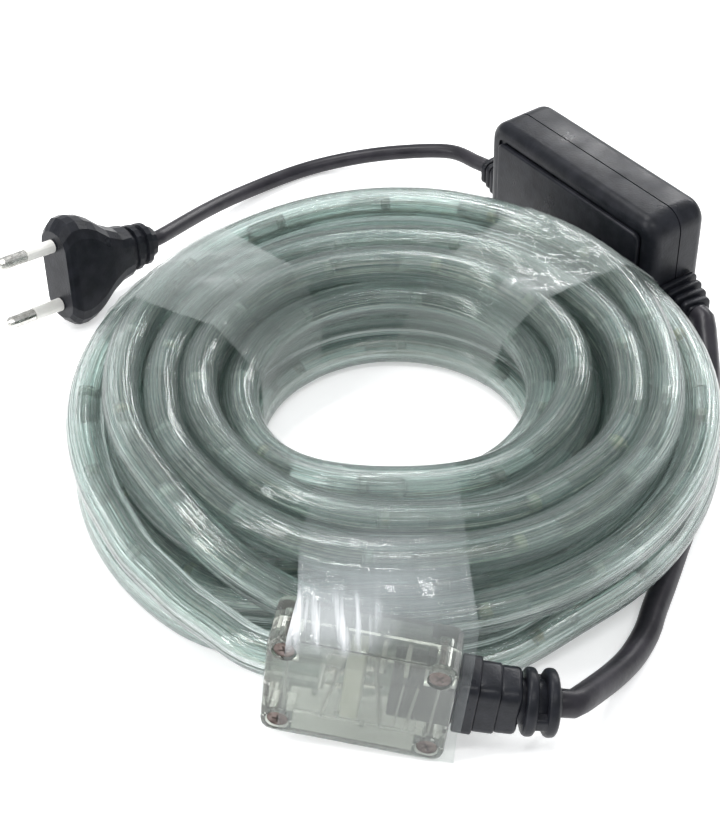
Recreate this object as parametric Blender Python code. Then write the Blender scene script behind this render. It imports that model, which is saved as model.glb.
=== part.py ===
"""LED rope light as it is sold: one flat coil of clear round rope held by three tapes, a clear splice box on
the rope's end, a black function controller, and a mains lead with a two-pin plug. Metres, +Z up."""

import math

import bmesh
import bpy
from mathutils import Matrix, Vector

for old in list(bpy.data.objects):
    bpy.data.objects.remove(old, do_unlink=True)

MM = 0.001

# Clearances and the tape's thickness
GAP = 0.35 * MM
TAPE_THICK = 0.4 * MM

# Rope and its winding: full layers under a looser top layer
COIL_D = 173.0 * MM
ROPE_D = 10.0 * MM
TURN_PITCH = 10.2 * MM
LOW_TURNS = 5
TOP_LAYER = 3
TOP_TURNS = 3
TOP_PITCH = 11.5 * MM
TOP_INSET = 9.1 * MM
TOP_DRIFT = 2.6 * MM
COIL_STEPS = 48

# Stretch of the lowest outer turn that rides over the output lead, in degrees round the coil, and how far it
# goes up and out there
LIFT_START = -75.0
LIFT_END = 28.0
LIFT_RAMP = 16.0
LIFT_UP = 7.3 * MM
LIFT_OUT = 1.1 * MM

# Tape bands: width at the rim and in the bore, and the angle of the middle at the foot of the bore, at its
# top and at the rim, in degrees
TAPE_WIDTH = 42.0 * MM
TAPE_BORE_WIDTH = 31.0 * MM
LEFT_LOW_ANGLE = 149.0
LEFT_TOP_ANGLE = 145.0
LEFT_RIM_ANGLE = 143.0
RIGHT_LOW_ANGLE = 68.0
RIGHT_TOP_ANGLE = 46.0
RIGHT_RIM_ANGLE = 40.5
FRONT_LOW_ANGLE = -92.0
FRONT_TOP_ANGLE = -93.0
FRONT_RIM_ANGLE = -94.0
TAPE_COLUMNS = 6
TAPE_FOLD = 0.5 * MM

# Clear splice box: face centre, turned and rolled as it leans against the coil
BOX_W = 42.5 * MM
BOX_H = 31.5 * MM
BOX_DEPTH = 14.0 * MM
BOX_CORNER_R = 3.0 * MM
BOX_WALL = 1.5 * MM
BOX_X = -12.0 * MM
BOX_YAW = -10.5
BOX_ROLL = 7.0
BOX_LEAN = 2.0
BOX_TAPE_LEFT = -17.0 * MM
BOX_TAPE_RIGHT = 24.0 * MM
BOX_LEAD_RISE = 1.2 * MM
BOX_ROPE_RISE = 1.5 * MM
BOX_STANDOFF = 0.6 * MM
BOX_EDGE = 1.0 * MM
BOX_POST_WALL = 0.8 * MM

# Splice box screws and what is inside
SCREW_INSET = 4.0 * MM
SCREW_HEAD_D = 5.0 * MM
SCREW_HEAD_H = 1.3 * MM
SCREW_SHANK_D = 2.4 * MM
SCREW_LENGTH = 10.5 * MM
SCREW_SINK = 0.5 * MM
BAR_W = 4.2 * MM
BAR_H = 17.0 * MM
BAR_CLEARANCE = 0.75 * MM
BAR_X = -1.5 * MM
CONTACT_D = 1.4 * MM
CONTACT_LENGTH = 4.2 * MM
CONTACT_PITCH = 4.6 * MM

# Moulded connector on the output lead
NOSE_H = 14.0 * MM
NOSE_D = 9.4 * MM
NOSE_LENGTH = 13.0 * MM
COLLAR_H = 16.5 * MM
COLLAR_D = 12.0 * MM
COLLAR_LENGTH = 14.4 * MM
FLANGE_D = 15.6 * MM
FLANGE_THICK = 3.0 * MM
FLANGE_GROOVE = 1.7 * MM
NECK_D = 10.4 * MM
NECK_BEND = 12.0

# Function controller, standing on its long narrow side
CTRL_L = 74.5 * MM
CTRL_T = 21.0 * MM
CTRL_H = 38.0 * MM
CTRL_CORNER_R = 6.5 * MM
CTRL_EDGE = 3.6 * MM
PANEL_RISE = 1.3 * MM
PANEL_MARGIN = 5.5 * MM
CTRL_FACING = 33.9
CTRL_SLIDE = -34.6 * MM
CTRL_STANDOFF = 1.8 * MM
RELIEF_Z = 10.5 * MM
RELIEF_W = 14.0 * MM
RELIEF_H = 11.0 * MM
RELIEF_LENGTH = 11.5 * MM
RELIEF_FINS = 4
RELIEF_BEND = 14.0

# Leads, and how far each runs straight out of its gland
OUT_D = 6.6 * MM
MAINS_D = 4.8 * MM
OUT_STUB = 3.0 * MM
MAINS_STUB = 4.0 * MM
LEAD_CAP = 0.3

# Two-pin plug, lying on its narrow edge
PLUG_W = 34.0 * MM
PLUG_T = 13.7 * MM
PLUG_LENGTH = 35.0 * MM
PLUG_AZIMUTH = 223.0
PLUG_RISE = 9.0
PLUG_ROLL = -11.0
PLUG_X = -97.0 * MM
PLUG_Y = 63.4 * MM
PIN_D = 4.0 * MM
PIN_PITCH = 18.6 * MM
SLEEVE_LENGTH = 9.6 * MM
TIP_LENGTH = 9.0 * MM

ROPE_R = ROPE_D / 2
RIM_R = COIL_D / 2
LAST_TURN = RIM_R - ROPE_R
FIRST_TURN = LAST_TURN - (LOW_TURNS - 1) * TURN_PITCH
BORE_R = FIRST_TURN - ROPE_R
TOP_LAST = LAST_TURN - TOP_INSET
TOP_FIRST = TOP_LAST - (TOP_TURNS - 1) * TOP_PITCH
COIL_Z = TAPE_THICK + GAP + ROPE_R
LAYER_RISE = math.sqrt(ROPE_D**2 - (TURN_PITCH / 2) ** 2)
COIL_TOP = COIL_Z + TOP_LAYER * LAYER_RISE + ROPE_R
BAR_D = BOX_DEPTH - 2 * (BOX_WALL + BAR_CLEARANCE)


# Finishes: colour, roughness, metallic
CLEAR_ROPE = ((0.55, 0.63, 0.59), 0.2, 0.0)
CLEAR_TAPE = ((0.80, 0.82, 0.80), 0.15, 0.0)
CLEAR_CASE = ((0.72, 0.75, 0.71), 0.2, 0.0)
IVORY = ((0.78, 0.78, 0.70), 0.4, 0.0)
SCREW_STEEL = ((0.45, 0.36, 0.31), 0.45, 1.0)
TINNED = ((0.80, 0.78, 0.74), 0.25, 1.0)
BLACK = ((0.022, 0.023, 0.028), 0.45, 0.0)
BLACK_LEAD = ((0.026, 0.024, 0.030), 0.4, 0.0)
WHITE_SLEEVE = ((0.80, 0.79, 0.75), 0.45, 0.0)
NICKEL = ((0.72, 0.71, 0.68), 0.25, 1.0)


def material(name, look):
    """The piece's own material in one of the finishes."""
    colour, roughness, metallic = look
    found = bpy.data.materials.new(name)
    found.use_nodes = True
    shader = found.node_tree.nodes["Principled BSDF"]
    shader.inputs["Base Color"].default_value = (*colour, 1.0)
    shader.inputs["Roughness"].default_value = roughness
    shader.inputs["Metallic"].default_value = metallic
    return found


def finish(name, mesh_builder, look, smooth=True, angle=32.0):
    """Turns the builder's bmesh into an object with faces out and sharp edges kept."""
    bmesh.ops.recalc_face_normals(mesh_builder, faces=mesh_builder.faces)
    mesh = bpy.data.meshes.new(name)
    mesh_builder.to_mesh(mesh)
    mesh_builder.free()
    made = bpy.data.objects.new(name, mesh)
    bpy.context.scene.collection.objects.link(made)
    mesh.materials.append(material(name, look))
    if smooth:
        mesh.shade_smooth()
        mesh.set_sharp_from_angle(angle=math.radians(angle))
    return made


def skin(name, loops, look, closed_ends=True, ring=False, smooth=True, angle=32.0):
    """Closed body through loops of equal length. A ring joins its last loop to its first."""
    builder = bmesh.new()
    rows = [[builder.verts.new(point) for point in loop] for loop in loops]
    count = len(rows[0])
    pairs = list(zip(rows, rows[1:]))
    if ring:
        pairs.append((rows[-1], rows[0]))
    for low, high in pairs:
        for i in range(count):
            j = (i + 1) % count
            builder.faces.new((low[i], low[j], high[j], high[i]))
    if closed_ends and not ring:
        builder.faces.new(list(reversed(rows[0])))
        builder.faces.new(rows[-1])
    return finish(name, builder, look, smooth, angle)


def rounded_outline(width, height, radius, per_corner=4):
    """Counter-clockwise rounded rectangle about the origin."""
    points = []
    radius = min(radius, width / 2 - 1e-5, height / 2 - 1e-5)
    corners = ((1, 1, 0), (-1, 1, 90), (-1, -1, 180), (1, -1, 270))
    for side_x, side_y, start in corners:
        centre_x = side_x * (width / 2 - radius)
        centre_y = side_y * (height / 2 - radius)
        for step in range(per_corner):
            turn = math.radians(start + 90 * step / (per_corner - 1))
            points.append((centre_x + radius * math.cos(turn), centre_y + radius * math.sin(turn)))
    return points


def circle_outline(diameter, sides):
    return [
        (diameter / 2 * math.cos(2 * math.pi * i / sides), diameter / 2 * math.sin(2 * math.pi * i / sides))
        for i in range(sides)
    ]


def at(frame, points, depth):
    """Points of a flat outline, set at a depth along the frame's third axis."""
    return [frame @ Vector((x, y, depth)) for x, y in points]


def axes(origin, first, second, third):
    """Frame from its origin and its three unit axes."""
    matrix = Matrix((first, second, third)).transposed().to_4x4()
    matrix.translation = origin
    return matrix


def turned(name, frame, profile, look, sides=16, angle=32.0):
    """Round body along the frame's third axis, from (depth, diameter) pairs."""
    loops = [at(frame, circle_outline(diameter, sides), depth) for depth, diameter in profile]
    return skin(name, loops, look, angle=angle)


def slab(name, frame, width, height, radius, stations, look, per_corner=4):
    """Rounded block along the frame's third axis, from (depth, inset) pairs."""
    loops = []
    for depth, inset in stations:
        outline = rounded_outline(width - 2 * inset, height - 2 * inset, max(radius - inset, 0.4 * MM), per_corner)
        loops.append(at(frame, outline, depth))
    return skin(name, loops, look, angle=40.0)


def cut(target, cutter):
    """Takes the cutter's shape out of the target and hides the cutter."""
    change = target.modifiers.new("cut_" + cutter.name, "BOOLEAN")
    change.operation = "DIFFERENCE"
    change.solver = "EXACT"
    change.object = cutter
    cutter.hide_render = True
    cutter.display_type = "WIRE"


def smooth_route(points, spacing):
    """Points at even spacing on a smooth curve through the route's own points."""
    route = [Vector(point) * MM for point in points]
    route = [route[0] * 2 - route[1]] + route + [route[-1] * 2 - route[-2]]
    fine = []
    for before, start, end, after in zip(route, route[1:], route[2:], route[3:]):
        for step in range(24):
            t = step / 24
            fine.append(
                0.5
                * (
                    2 * start
                    + (end - before) * t
                    + (2 * before - 5 * start + 4 * end - after) * t**2
                    + (3 * start - before - 3 * end + after) * t**3
                )
            )
    fine.append(route[-2].copy())
    total = sum((b - a).length for a, b in zip(fine, fine[1:]))
    pieces = max(2, round(total / spacing))
    even = [fine[0]]
    walked = 0.0
    for a, b in zip(fine, fine[1:]):
        step = (b - a).length
        while len(even) < pieces and walked + step >= total * len(even) / pieces:
            share = (total * len(even) / pieces - walked) / step
            even.append(a.lerp(b, share))
        walked += step
    even.append(fine[-1])
    return even, total


def lead(name, points, diameter, look, spacing=2.2):
    """Round lead as a tube along its route."""
    even, total = smooth_route(points, spacing * diameter)
    stub = LEAD_CAP * diameter
    first_way = Vector(points[1]) - Vector(points[0])
    last_way = Vector(points[-1]) - Vector(points[-2])
    even.insert(1, even[0] + first_way.normalized() * stub)
    even.insert(-1, even[-1] - last_way.normalized() * stub)
    curve = bpy.data.curves.new(name, "CURVE")
    curve.dimensions = "3D"
    curve.bevel_depth = diameter / 2
    curve.bevel_resolution = 3
    curve.use_fill_caps = True
    spline = curve.splines.new("POLY")
    spline.points.add(len(even) - 1)
    for point, place in zip(spline.points, even):
        point.co = (*place, 1.0)
    made = bpy.data.objects.new(name, curve)
    bpy.context.scene.collection.objects.link(made)
    curve.materials.append(material(name, look))
    print(name, "length", round(total, 4))
    return made


def smoothstep(value):
    value = min(1.0, max(0.0, value))
    return value * value * (3 - 2 * value)


def lift_at(angle):
    """0 where the lowest outer turn lies flat, 1 where it rides over the output lead."""
    angle = (angle + 180.0) % 360.0 - 180.0
    rising = smoothstep((angle - LIFT_START) / LIFT_RAMP)
    falling = smoothstep((LIFT_END - angle) / LIFT_RAMP)
    return min(rising, falling)


def arc(centre, radius, start, end, count):
    return [
        (
            centre[0] + radius * math.cos(math.radians(start + (end - start) * i / (count - 1))),
            centre[1] + radius * math.sin(math.radians(start + (end - start) * i / (count - 1))),
        )
        for i in range(count)
    ]


def layer_z(layer):
    return COIL_Z + layer * LAYER_RISE


def top_last_at(angle):
    """Radius of the top layer's outer turn, which has drifted towards the back."""
    return TOP_LAST + TOP_DRIFT * math.sin(math.radians(angle))


def coil_section(angle):
    """Radius and height of the winding's outline: each outer turn shows as an arc."""
    lift = lift_at(angle)
    nested = TURN_PITCH / 2
    low, second, third, top = (layer_z(layer) for layer in range(TOP_LAYER + 1))
    section = arc((FIRST_TURN, low), ROPE_R, -180, -30, 6)
    for turn in range(1, LOW_TURNS - 1):
        section += arc((FIRST_TURN + turn * TURN_PITCH, low), ROPE_R, -150, -30, 5)
    outer = Vector((LAST_TURN + LIFT_OUT * lift, low + LIFT_UP * lift))
    section += arc(outer, ROPE_R, -150 + 30 * lift, 30, 7)
    flat_fill = Vector((LAST_TURN - nested, second))
    raised_fill = Vector((LAST_TURN - 0.06 * ROPE_D, (outer.y + third) / 2))
    section += arc(flat_fill.lerp(raised_fill, lift), ROPE_R * (1 - 0.85 * lift), -22, 22, 3)
    section += arc((LAST_TURN, third), ROPE_R, -30, 120, 6)
    section += arc((top_last_at(angle), top), ROPE_R, -20, 145, 6)
    for turn in range(TOP_TURNS - 2, 0, -1):
        section += arc((TOP_FIRST + turn * TOP_PITCH, top), ROPE_R, 35, 145, 5)
    section += arc((TOP_FIRST, top), ROPE_R, 35, 185, 6)
    section += arc((FIRST_TURN, third), ROPE_R, 95, 210, 5)
    section += arc((FIRST_TURN + nested, second), ROPE_R, 158, 202, 3)
    return section


def polar(radius, angle, height):
    turn = math.radians(angle)
    return Vector((radius * math.cos(turn), radius * math.sin(turn), height))


def rope_coil():
    loops = []
    for step in range(COIL_STEPS):
        angle = 360.0 * step / COIL_STEPS
        loops.append([polar(radius, angle, height) for radius, height in coil_section(angle)])
    return skin("rope_coil", loops, CLEAR_ROPE, ring=True, angle=50.0)


def wrap_section(offset, top_last):
    """Hull of the winding's section, this far outside it, split where the rim begins and ends."""
    reach = ROPE_R + offset
    low, third, top = layer_z(0), layer_z(TOP_LAYER - 1), layer_z(TOP_LAYER)
    bore_slope = math.degrees(math.atan2(TOP_FIRST - FIRST_TURN, top - third))
    rim_slope = math.degrees(math.atan2(LAST_TURN - top_last, top - third))
    bore = arc((TOP_FIRST, top), reach, 90, 180 - bore_slope, 3)
    bore += arc((FIRST_TURN, third), reach, 180 - bore_slope, 180, 4)
    bore += arc((FIRST_TURN, low), reach, 180, 270, 4)
    rim = arc((LAST_TURN, low), reach, 270, 360, 4)
    rim += arc((LAST_TURN, third), reach, 0, rim_slope, 4)
    rim += arc((top_last, top), reach, rim_slope, 90, 3)
    return bore, rim


def band_angle(radius, height, share, angles):
    """Angle of one column of a tape at this place; the tape gathers where it enters the bore."""
    low_angle, top_angle, rim_angle = angles
    along = min(1.0, max(0.0, (radius - BORE_R) / (RIM_R - BORE_R)))
    raised = min(1.0, max(0.0, height / COIL_TOP))
    in_bore = low_angle + (top_angle - low_angle) * raised
    centre = in_bore + (rim_angle - in_bore) * along
    width = TAPE_BORE_WIDTH + (TAPE_WIDTH - TAPE_BORE_WIDTH) * along
    return centre + share * math.degrees(width / 2 / radius)


def tape_band(name, columns):
    """Closed thin band from columns of (inner loop, outer loop)."""
    builder = bmesh.new()
    inner = [[builder.verts.new(point) for point in column[0]] for column in columns]
    outer = [[builder.verts.new(point) for point in column[1]] for column in columns]
    count = len(inner[0])
    for left in range(len(columns) - 1):
        right = left + 1
        for i in range(count):
            j = (i + 1) % count
            builder.faces.new((outer[left][i], outer[right][i], outer[right][j], outer[left][j]))
            builder.faces.new((inner[left][i], inner[left][j], inner[right][j], inner[right][i]))
    for side in (0, -1):
        for i in range(count):
            j = (i + 1) % count
            builder.faces.new((inner[side][i], inner[side][j], outer[side][j], outer[side][i]))
    return finish(name, builder, CLEAR_TAPE, angle=50.0)


def band_point(radius, height, share, angles):
    return polar(radius, band_angle(radius, height, share, angles), height)


def coil_tape(name, angles):
    columns = []
    for column in range(TAPE_COLUMNS + 1):
        share = -1 + 2 * column / TAPE_COLUMNS
        top_last = top_last_at(band_angle(TOP_LAST, COIL_TOP, share, angles))
        loops = []
        for offset in (GAP, GAP + TAPE_THICK):
            bore, rim = wrap_section(offset, top_last)
            loops.append([band_point(r, z, share, angles) for r, z in bore + rim])
        columns.append(loops)
    return tape_band(name, columns)


def box_frame():
    """Frame on the splice box's face: right along the box, up, and out towards the viewer."""
    yaw = Matrix.Rotation(math.radians(BOX_YAW), 3, "Z")
    right = yaw @ Vector((1, 0, 0))
    out = yaw @ Vector((0, -1, 0))
    up = Vector((0, 0, 1))
    lean = Matrix.Rotation(math.radians(-BOX_LEAN), 3, right)
    up, out = lean @ up, lean @ out
    roll = Matrix.Rotation(math.radians(BOX_ROLL), 3, -out)
    right, up = roll @ right, roll @ up
    corners = [x * BOX_W / 2 * right.z + y * BOX_H / 2 * up.z for x in (-1, 1) for y in (-1, 1)]
    depth_drop = max(0.0, BOX_DEPTH * out.z)
    height = TAPE_THICK + GAP - min(corners) + depth_drop
    flat_out = Vector((out.x, out.y)).normalized()
    distance = RIM_R + GAP + BOX_STANDOFF + BOX_DEPTH * Vector((out.x, out.y)).length + abs(up.y) * BOX_H / 2
    face_y = (distance - BOX_X * flat_out.x) / flat_out.y
    return axes(Vector((BOX_X, face_y, height)), right, up, out)


BOX = box_frame()
MID = -BOX_DEPTH / 2
SEAM = 0.15 * MM
LEAD_FRAME = axes(
    BOX @ Vector((0, BOX_LEAD_RISE, MID)),
    (BOX.to_3x3() @ Vector((0, 0, -1))),
    (BOX.to_3x3() @ Vector((0, 1, 0))),
    (BOX.to_3x3() @ Vector((1, 0, 0))),
)
ROPE_FRAME = axes(
    BOX @ Vector((0, BOX_ROPE_RISE, MID)),
    (BOX.to_3x3() @ Vector((0, 0, 1))),
    (BOX.to_3x3() @ Vector((0, 1, 0))),
    (BOX.to_3x3() @ Vector((-1, 0, 0))),
)


def splice_box():
    edge = BOX_EDGE
    front_stations = [(MID + SEAM, 0.0), (-edge, 0.0), (-0.3 * edge, 0.3 * edge), (0.0, edge)]
    back_stations = [(-BOX_DEPTH, edge), (-BOX_DEPTH + 0.7 * edge, 0.3 * edge), (-BOX_DEPTH + edge, 0.0)]
    back_stations.append((MID - SEAM, 0.0))
    front = slab("splice_box_front", BOX, BOX_W, BOX_H, BOX_CORNER_R, front_stations, CLEAR_CASE)
    back = slab("splice_box_back", BOX, BOX_W, BOX_H, BOX_CORNER_R, back_stations, CLEAR_CASE)
    room = room_outline(SCREW_INSET + SCREW_HEAD_D / 2 + BOX_POST_WALL)
    front_room = skin("front_room", [at(BOX, room, MID - 1 * MM), at(BOX, room, -BOX_WALL)], CLEAR_CASE)
    back_room = skin("back_room", [at(BOX, room, -BOX_DEPTH + BOX_WALL), at(BOX, room, MID + 1 * MM)], CLEAR_CASE)
    rope_hole = turned(
        "rope_hole",
        ROPE_FRAME,
        [(BOX_W / 2 - 2 * BOX_WALL, ROPE_D + 2 * GAP), (BOX_W, ROPE_D + 2 * GAP)],
        CLEAR_CASE,
        20,
    )
    nose_hole = slab(
        "nose_hole",
        LEAD_FRAME,
        NOSE_D + 2 * GAP,
        NOSE_H + 2 * GAP,
        2.0 * MM,
        [(BOX_W / 2 - 2 * BOX_WALL, 0.0), (BOX_W, 0.0)],
        CLEAR_CASE,
    )
    for shell, cavity in ((front, front_room), (back, back_room)):
        cut(shell, cavity)
        cut(shell, rope_hole)
        cut(shell, nose_hole)
    for index, (side_x, side_y) in enumerate(((-1, 1), (1, 1), (-1, -1), (1, -1))):
        centre = BOX @ Vector((side_x * (BOX_W / 2 - SCREW_INSET), side_y * (BOX_H / 2 - SCREW_INSET), 0.0))
        spot = BOX.copy()
        spot.translation = centre
        seat = SCREW_SINK
        shank = SCREW_SHANK_D
        turned(
            f"splice_screw_{index + 1}",
            spot,
            [
                (-SCREW_LENGTH, shank * 0.5),
                (-SCREW_LENGTH + 1.2 * MM, shank),
                (-seat - SCREW_HEAD_H, shank),
                (-seat - SCREW_HEAD_H + 0.3 * MM, SCREW_HEAD_D * 0.8),
                (-seat - 0.2 * MM, SCREW_HEAD_D),
                (-seat, SCREW_HEAD_D * 0.86),
            ],
            SCREW_STEEL,
            14,
        )
        hole = turned(
            f"screw_hole_{index + 1}",
            spot,
            [
                (-SCREW_LENGTH - GAP, shank + 2 * GAP),
                (-seat - SCREW_HEAD_H - GAP, shank + 2 * GAP),
                (-seat - SCREW_HEAD_H - GAP + 0.05 * MM, SCREW_HEAD_D + 2 * GAP),
                (1 * MM, SCREW_HEAD_D + 2 * GAP),
            ],
            CLEAR_CASE,
            14,
        )
        cut(front, hole)
        cut(back, hole)
    return front, back


def room_outline(post):
    """Inside of the splice box: a cross, so that each corner keeps a solid screw post."""
    half_w = BOX_W / 2 - BOX_WALL
    half_h = BOX_H / 2 - BOX_WALL
    in_w = BOX_W / 2 - post
    in_h = BOX_H / 2 - post
    return [
        (half_w, -in_h),
        (half_w, in_h),
        (in_w, in_h),
        (in_w, half_h),
        (-in_w, half_h),
        (-in_w, in_h),
        (-half_w, in_h),
        (-half_w, -in_h),
        (-in_w, -in_h),
        (-in_w, -half_h),
        (in_w, -half_h),
        (in_w, -in_h),
    ]


def box_inside():
    bar = BOX.copy()
    bar.translation = BOX @ Vector((BAR_X, 0, MID))
    half = BAR_D / 2
    stations = [(-half, 0.5 * MM), (-half + 0.5 * MM, 0.0), (half - 0.5 * MM, 0.0), (half, 0.5 * MM)]
    slab("clamp_bar", bar, BAR_W, BAR_H, 0.8 * MM, stations, IVORY, 3)
    for index, shift in enumerate((-1, 0, 1)):
        spot = ROPE_FRAME.copy()
        spot.translation = BOX @ Vector((BAR_X - BAR_W / 2 - GAP, BOX_ROPE_RISE + shift * CONTACT_PITCH, MID))
        turned(
            f"contact_pin_{index + 1}",
            spot,
            [(0.0, CONTACT_D), (CONTACT_LENGTH - 0.6 * MM, CONTACT_D), (CONTACT_LENGTH, CONTACT_D * 0.5)],
            TINNED,
            10,
        )


def box_tape():
    """Tape round the coil and over the splice box: it leaves the top turn, lies on the box's top, folds over
    its face and comes back along the floor."""
    angles = (FRONT_LOW_ANGLE, FRONT_TOP_ANGLE, FRONT_RIM_ANGLE)
    columns = []
    for column in range(TAPE_COLUMNS + 1):
        share = -1 + 2 * column / TAPE_COLUMNS
        across = BOX_TAPE_LEFT + (BOX_TAPE_RIGHT - BOX_TAPE_LEFT) * (share + 1) / 2
        top_last = top_last_at(band_angle(TOP_LAST, COIL_TOP, share, angles))
        loops = []
        for offset, floor in ((GAP, TAPE_THICK), (GAP + TAPE_THICK, 0.0)):
            bore = wrap_section(offset, top_last)[0]
            top_turn = arc((top_last, layer_z(TOP_LAYER)), ROPE_R + offset, 76, 90, 2)
            low_turn = arc((LAST_TURN, layer_z(0)), ROPE_R + offset, 270, 285, 2)
            top = [band_point(r, z, share, angles) for r, z in top_turn]
            wall = [band_point(r, z, share, angles) for r, z in bore]
            low = [band_point(r, z, share, angles) for r, z in low_turn]
            half = BOX_H / 2
            front = [
                (-half - offset, -BOX_DEPTH),
                (-half - offset, -TAPE_FOLD),
                (-half + TAPE_FOLD, offset),
                (half - TAPE_FOLD, offset),
                (half + offset, -TAPE_FOLD),
                (half + offset, -BOX_DEPTH + TAPE_FOLD),
            ]
            face = [BOX @ Vector((across, y, depth)) for y, depth in front]
            for point in face:
                point.z = max(point.z, floor)
            loops.append(wall + low + face + top)
        columns.append(loops)
    return tape_band("tape_front", columns)


def rope_lead():
    """End of the rope, from beside the clamp bar out of the box to where it joins the winding."""
    end = ROPE_FRAME @ Vector((0, 0, -BAR_X + BAR_W / 2 + CONTACT_LENGTH + 4 * GAP))
    gate = ROPE_FRAME @ Vector((0, 0, BOX_W / 2 + 1 * MM))
    beside = RIM_R + ROPE_R + 2 * GAP
    route = [end, end.lerp(gate, 0.5), gate]
    gate_angle = math.degrees(math.atan2(gate.y, gate.x))
    gate_r = math.hypot(gate.x, gate.y)
    reach = ((9.0, 0.55), (18.0, 0.12), (26.0, 0.0))
    for degrees, share in reach:
        radius = beside + (gate_r - beside) * share
        height = gate.z + (layer_z(2) - gate.z) * (1 - share)
        route.append(polar(radius, gate_angle - degrees, height))
    points = [point / MM for point in route]
    return lead("rope_lead", points, ROPE_D, CLEAR_ROPE, 0.7)


def bent(frame, start, bend, length, depth):
    """Frame at a depth along a neck that is straight to start and then turns towards its first axis."""
    turn = math.radians(bend) * min(1.0, max(0.0, (depth - start) / length))
    if turn < 1e-6:
        return frame @ Matrix.Translation((0, 0, depth))
    radius = length / math.radians(bend)
    past = max(0.0, depth - start - length)
    across = radius * (1 - math.cos(turn)) + past * math.sin(turn)
    along = start + radius * math.sin(turn) + past * math.cos(turn)
    return frame @ Matrix.Translation((across, 0, along)) @ Matrix.Rotation(turn, 4, "Y")


def connector():
    """Moulded connector on the output lead: nose in the box, stepped collar, two round flanges, neck."""
    start = BOX_W / 2 - BOX_WALL - NOSE_LENGTH
    collar = BOX_W / 2 + GAP
    flanges = collar + COLLAR_LENGTH
    tip = flanges + 2 * (FLANGE_THICK + FLANGE_GROOVE) - 0.5 * MM
    loops = []

    def add(depth, width, height, radius):
        place = bent(LEAD_FRAME, collar, NECK_BEND, tip - collar, depth)
        loops.append(at(place, rounded_outline(width, height, radius, 5), 0.0))

    add(start, NOSE_D - 1 * MM, NOSE_H - 1 * MM, 1.5 * MM)
    add(start + 0.6 * MM, NOSE_D, NOSE_H, 2.0 * MM)
    add(collar, NOSE_D, NOSE_H, 2.0 * MM)
    add(collar + 0.02 * MM, COLLAR_D - 0.8 * MM, COLLAR_H - 0.8 * MM, 2.4 * MM)
    add(collar + 0.5 * MM, COLLAR_D, COLLAR_H, 2.6 * MM)
    add(collar + 0.3 * COLLAR_LENGTH, COLLAR_D, COLLAR_H, 3.0 * MM)
    add(collar + 0.36 * COLLAR_LENGTH, COLLAR_D - 0.8 * MM, COLLAR_H - 1.6 * MM, 3.0 * MM)
    add(collar + 0.86 * COLLAR_LENGTH, COLLAR_D - 1 * MM, COLLAR_H - 2.6 * MM, 3.0 * MM)
    add(flanges, NECK_D + 0.3 * MM, NECK_D + 1.5 * MM, 5.0 * MM)
    place = flanges + 0.4 * MM
    for diameter in (FLANGE_D, FLANGE_D * 0.97):
        add(place, NECK_D, NECK_D, NECK_D)
        add(place + 0.1 * MM, diameter - 1 * MM, diameter - 1 * MM, diameter)
        add(place + 0.6 * MM, diameter, diameter, diameter)
        add(place + FLANGE_THICK - 0.6 * MM, diameter, diameter, diameter)
        add(place + FLANGE_THICK - 0.1 * MM, diameter - 1 * MM, diameter - 1 * MM, diameter)
        add(place + FLANGE_THICK, NECK_D, NECK_D, NECK_D)
        place += FLANGE_THICK + FLANGE_GROOVE
    add(tip, OUT_D + 1.2 * MM, OUT_D + 1.2 * MM, OUT_D)
    skin("lead_connector", loops, BLACK)
    end = bent(LEAD_FRAME, collar, NECK_BEND, tip - collar, tip)
    return end @ Vector((0, 0, GAP)), end.to_3x3() @ Vector((0, 0, 1))


def controller_frame():
    """Frame on the controller's seam: along its length, up, and out towards the coil."""
    facing = math.radians(CTRL_FACING)
    away = Vector((math.cos(facing), math.sin(facing), 0))
    along = Vector((away.y, -away.x, 0))
    seam = RIM_R + GAP + TAPE_THICK + CTRL_STANDOFF + PANEL_RISE + CTRL_T / 2
    origin = away * seam + along * CTRL_SLIDE + Vector((0, 0, CTRL_H / 2))
    return axes(origin, along, Vector((0, 0, 1)), -away)


CTRL = controller_frame()


def controller():
    half = CTRL_T / 2
    edge = CTRL_EDGE
    front = [
        (SEAM, 0.0),
        (half - edge, 0.0),
        (half - 0.6 * edge, 0.15 * edge),
        (half - 0.15 * edge, 0.6 * edge),
        (half, edge),
        (half, PANEL_MARGIN),
        (half + 0.6 * PANEL_RISE, PANEL_MARGIN + 0.3 * MM),
        (half + PANEL_RISE, PANEL_MARGIN + 1.0 * MM),
    ]
    back = [
        (-half, edge),
        (-half + 0.15 * edge, 0.6 * edge),
        (-half + 0.6 * edge, 0.15 * edge),
        (-half + edge, 0.0),
        (-SEAM, 0.0),
    ]
    slab("controller_front", CTRL, CTRL_L, CTRL_H, CTRL_CORNER_R, front, BLACK, 5)
    slab("controller_back", CTRL, CTRL_L, CTRL_H, CTRL_CORNER_R, back, BLACK, 5)


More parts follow.
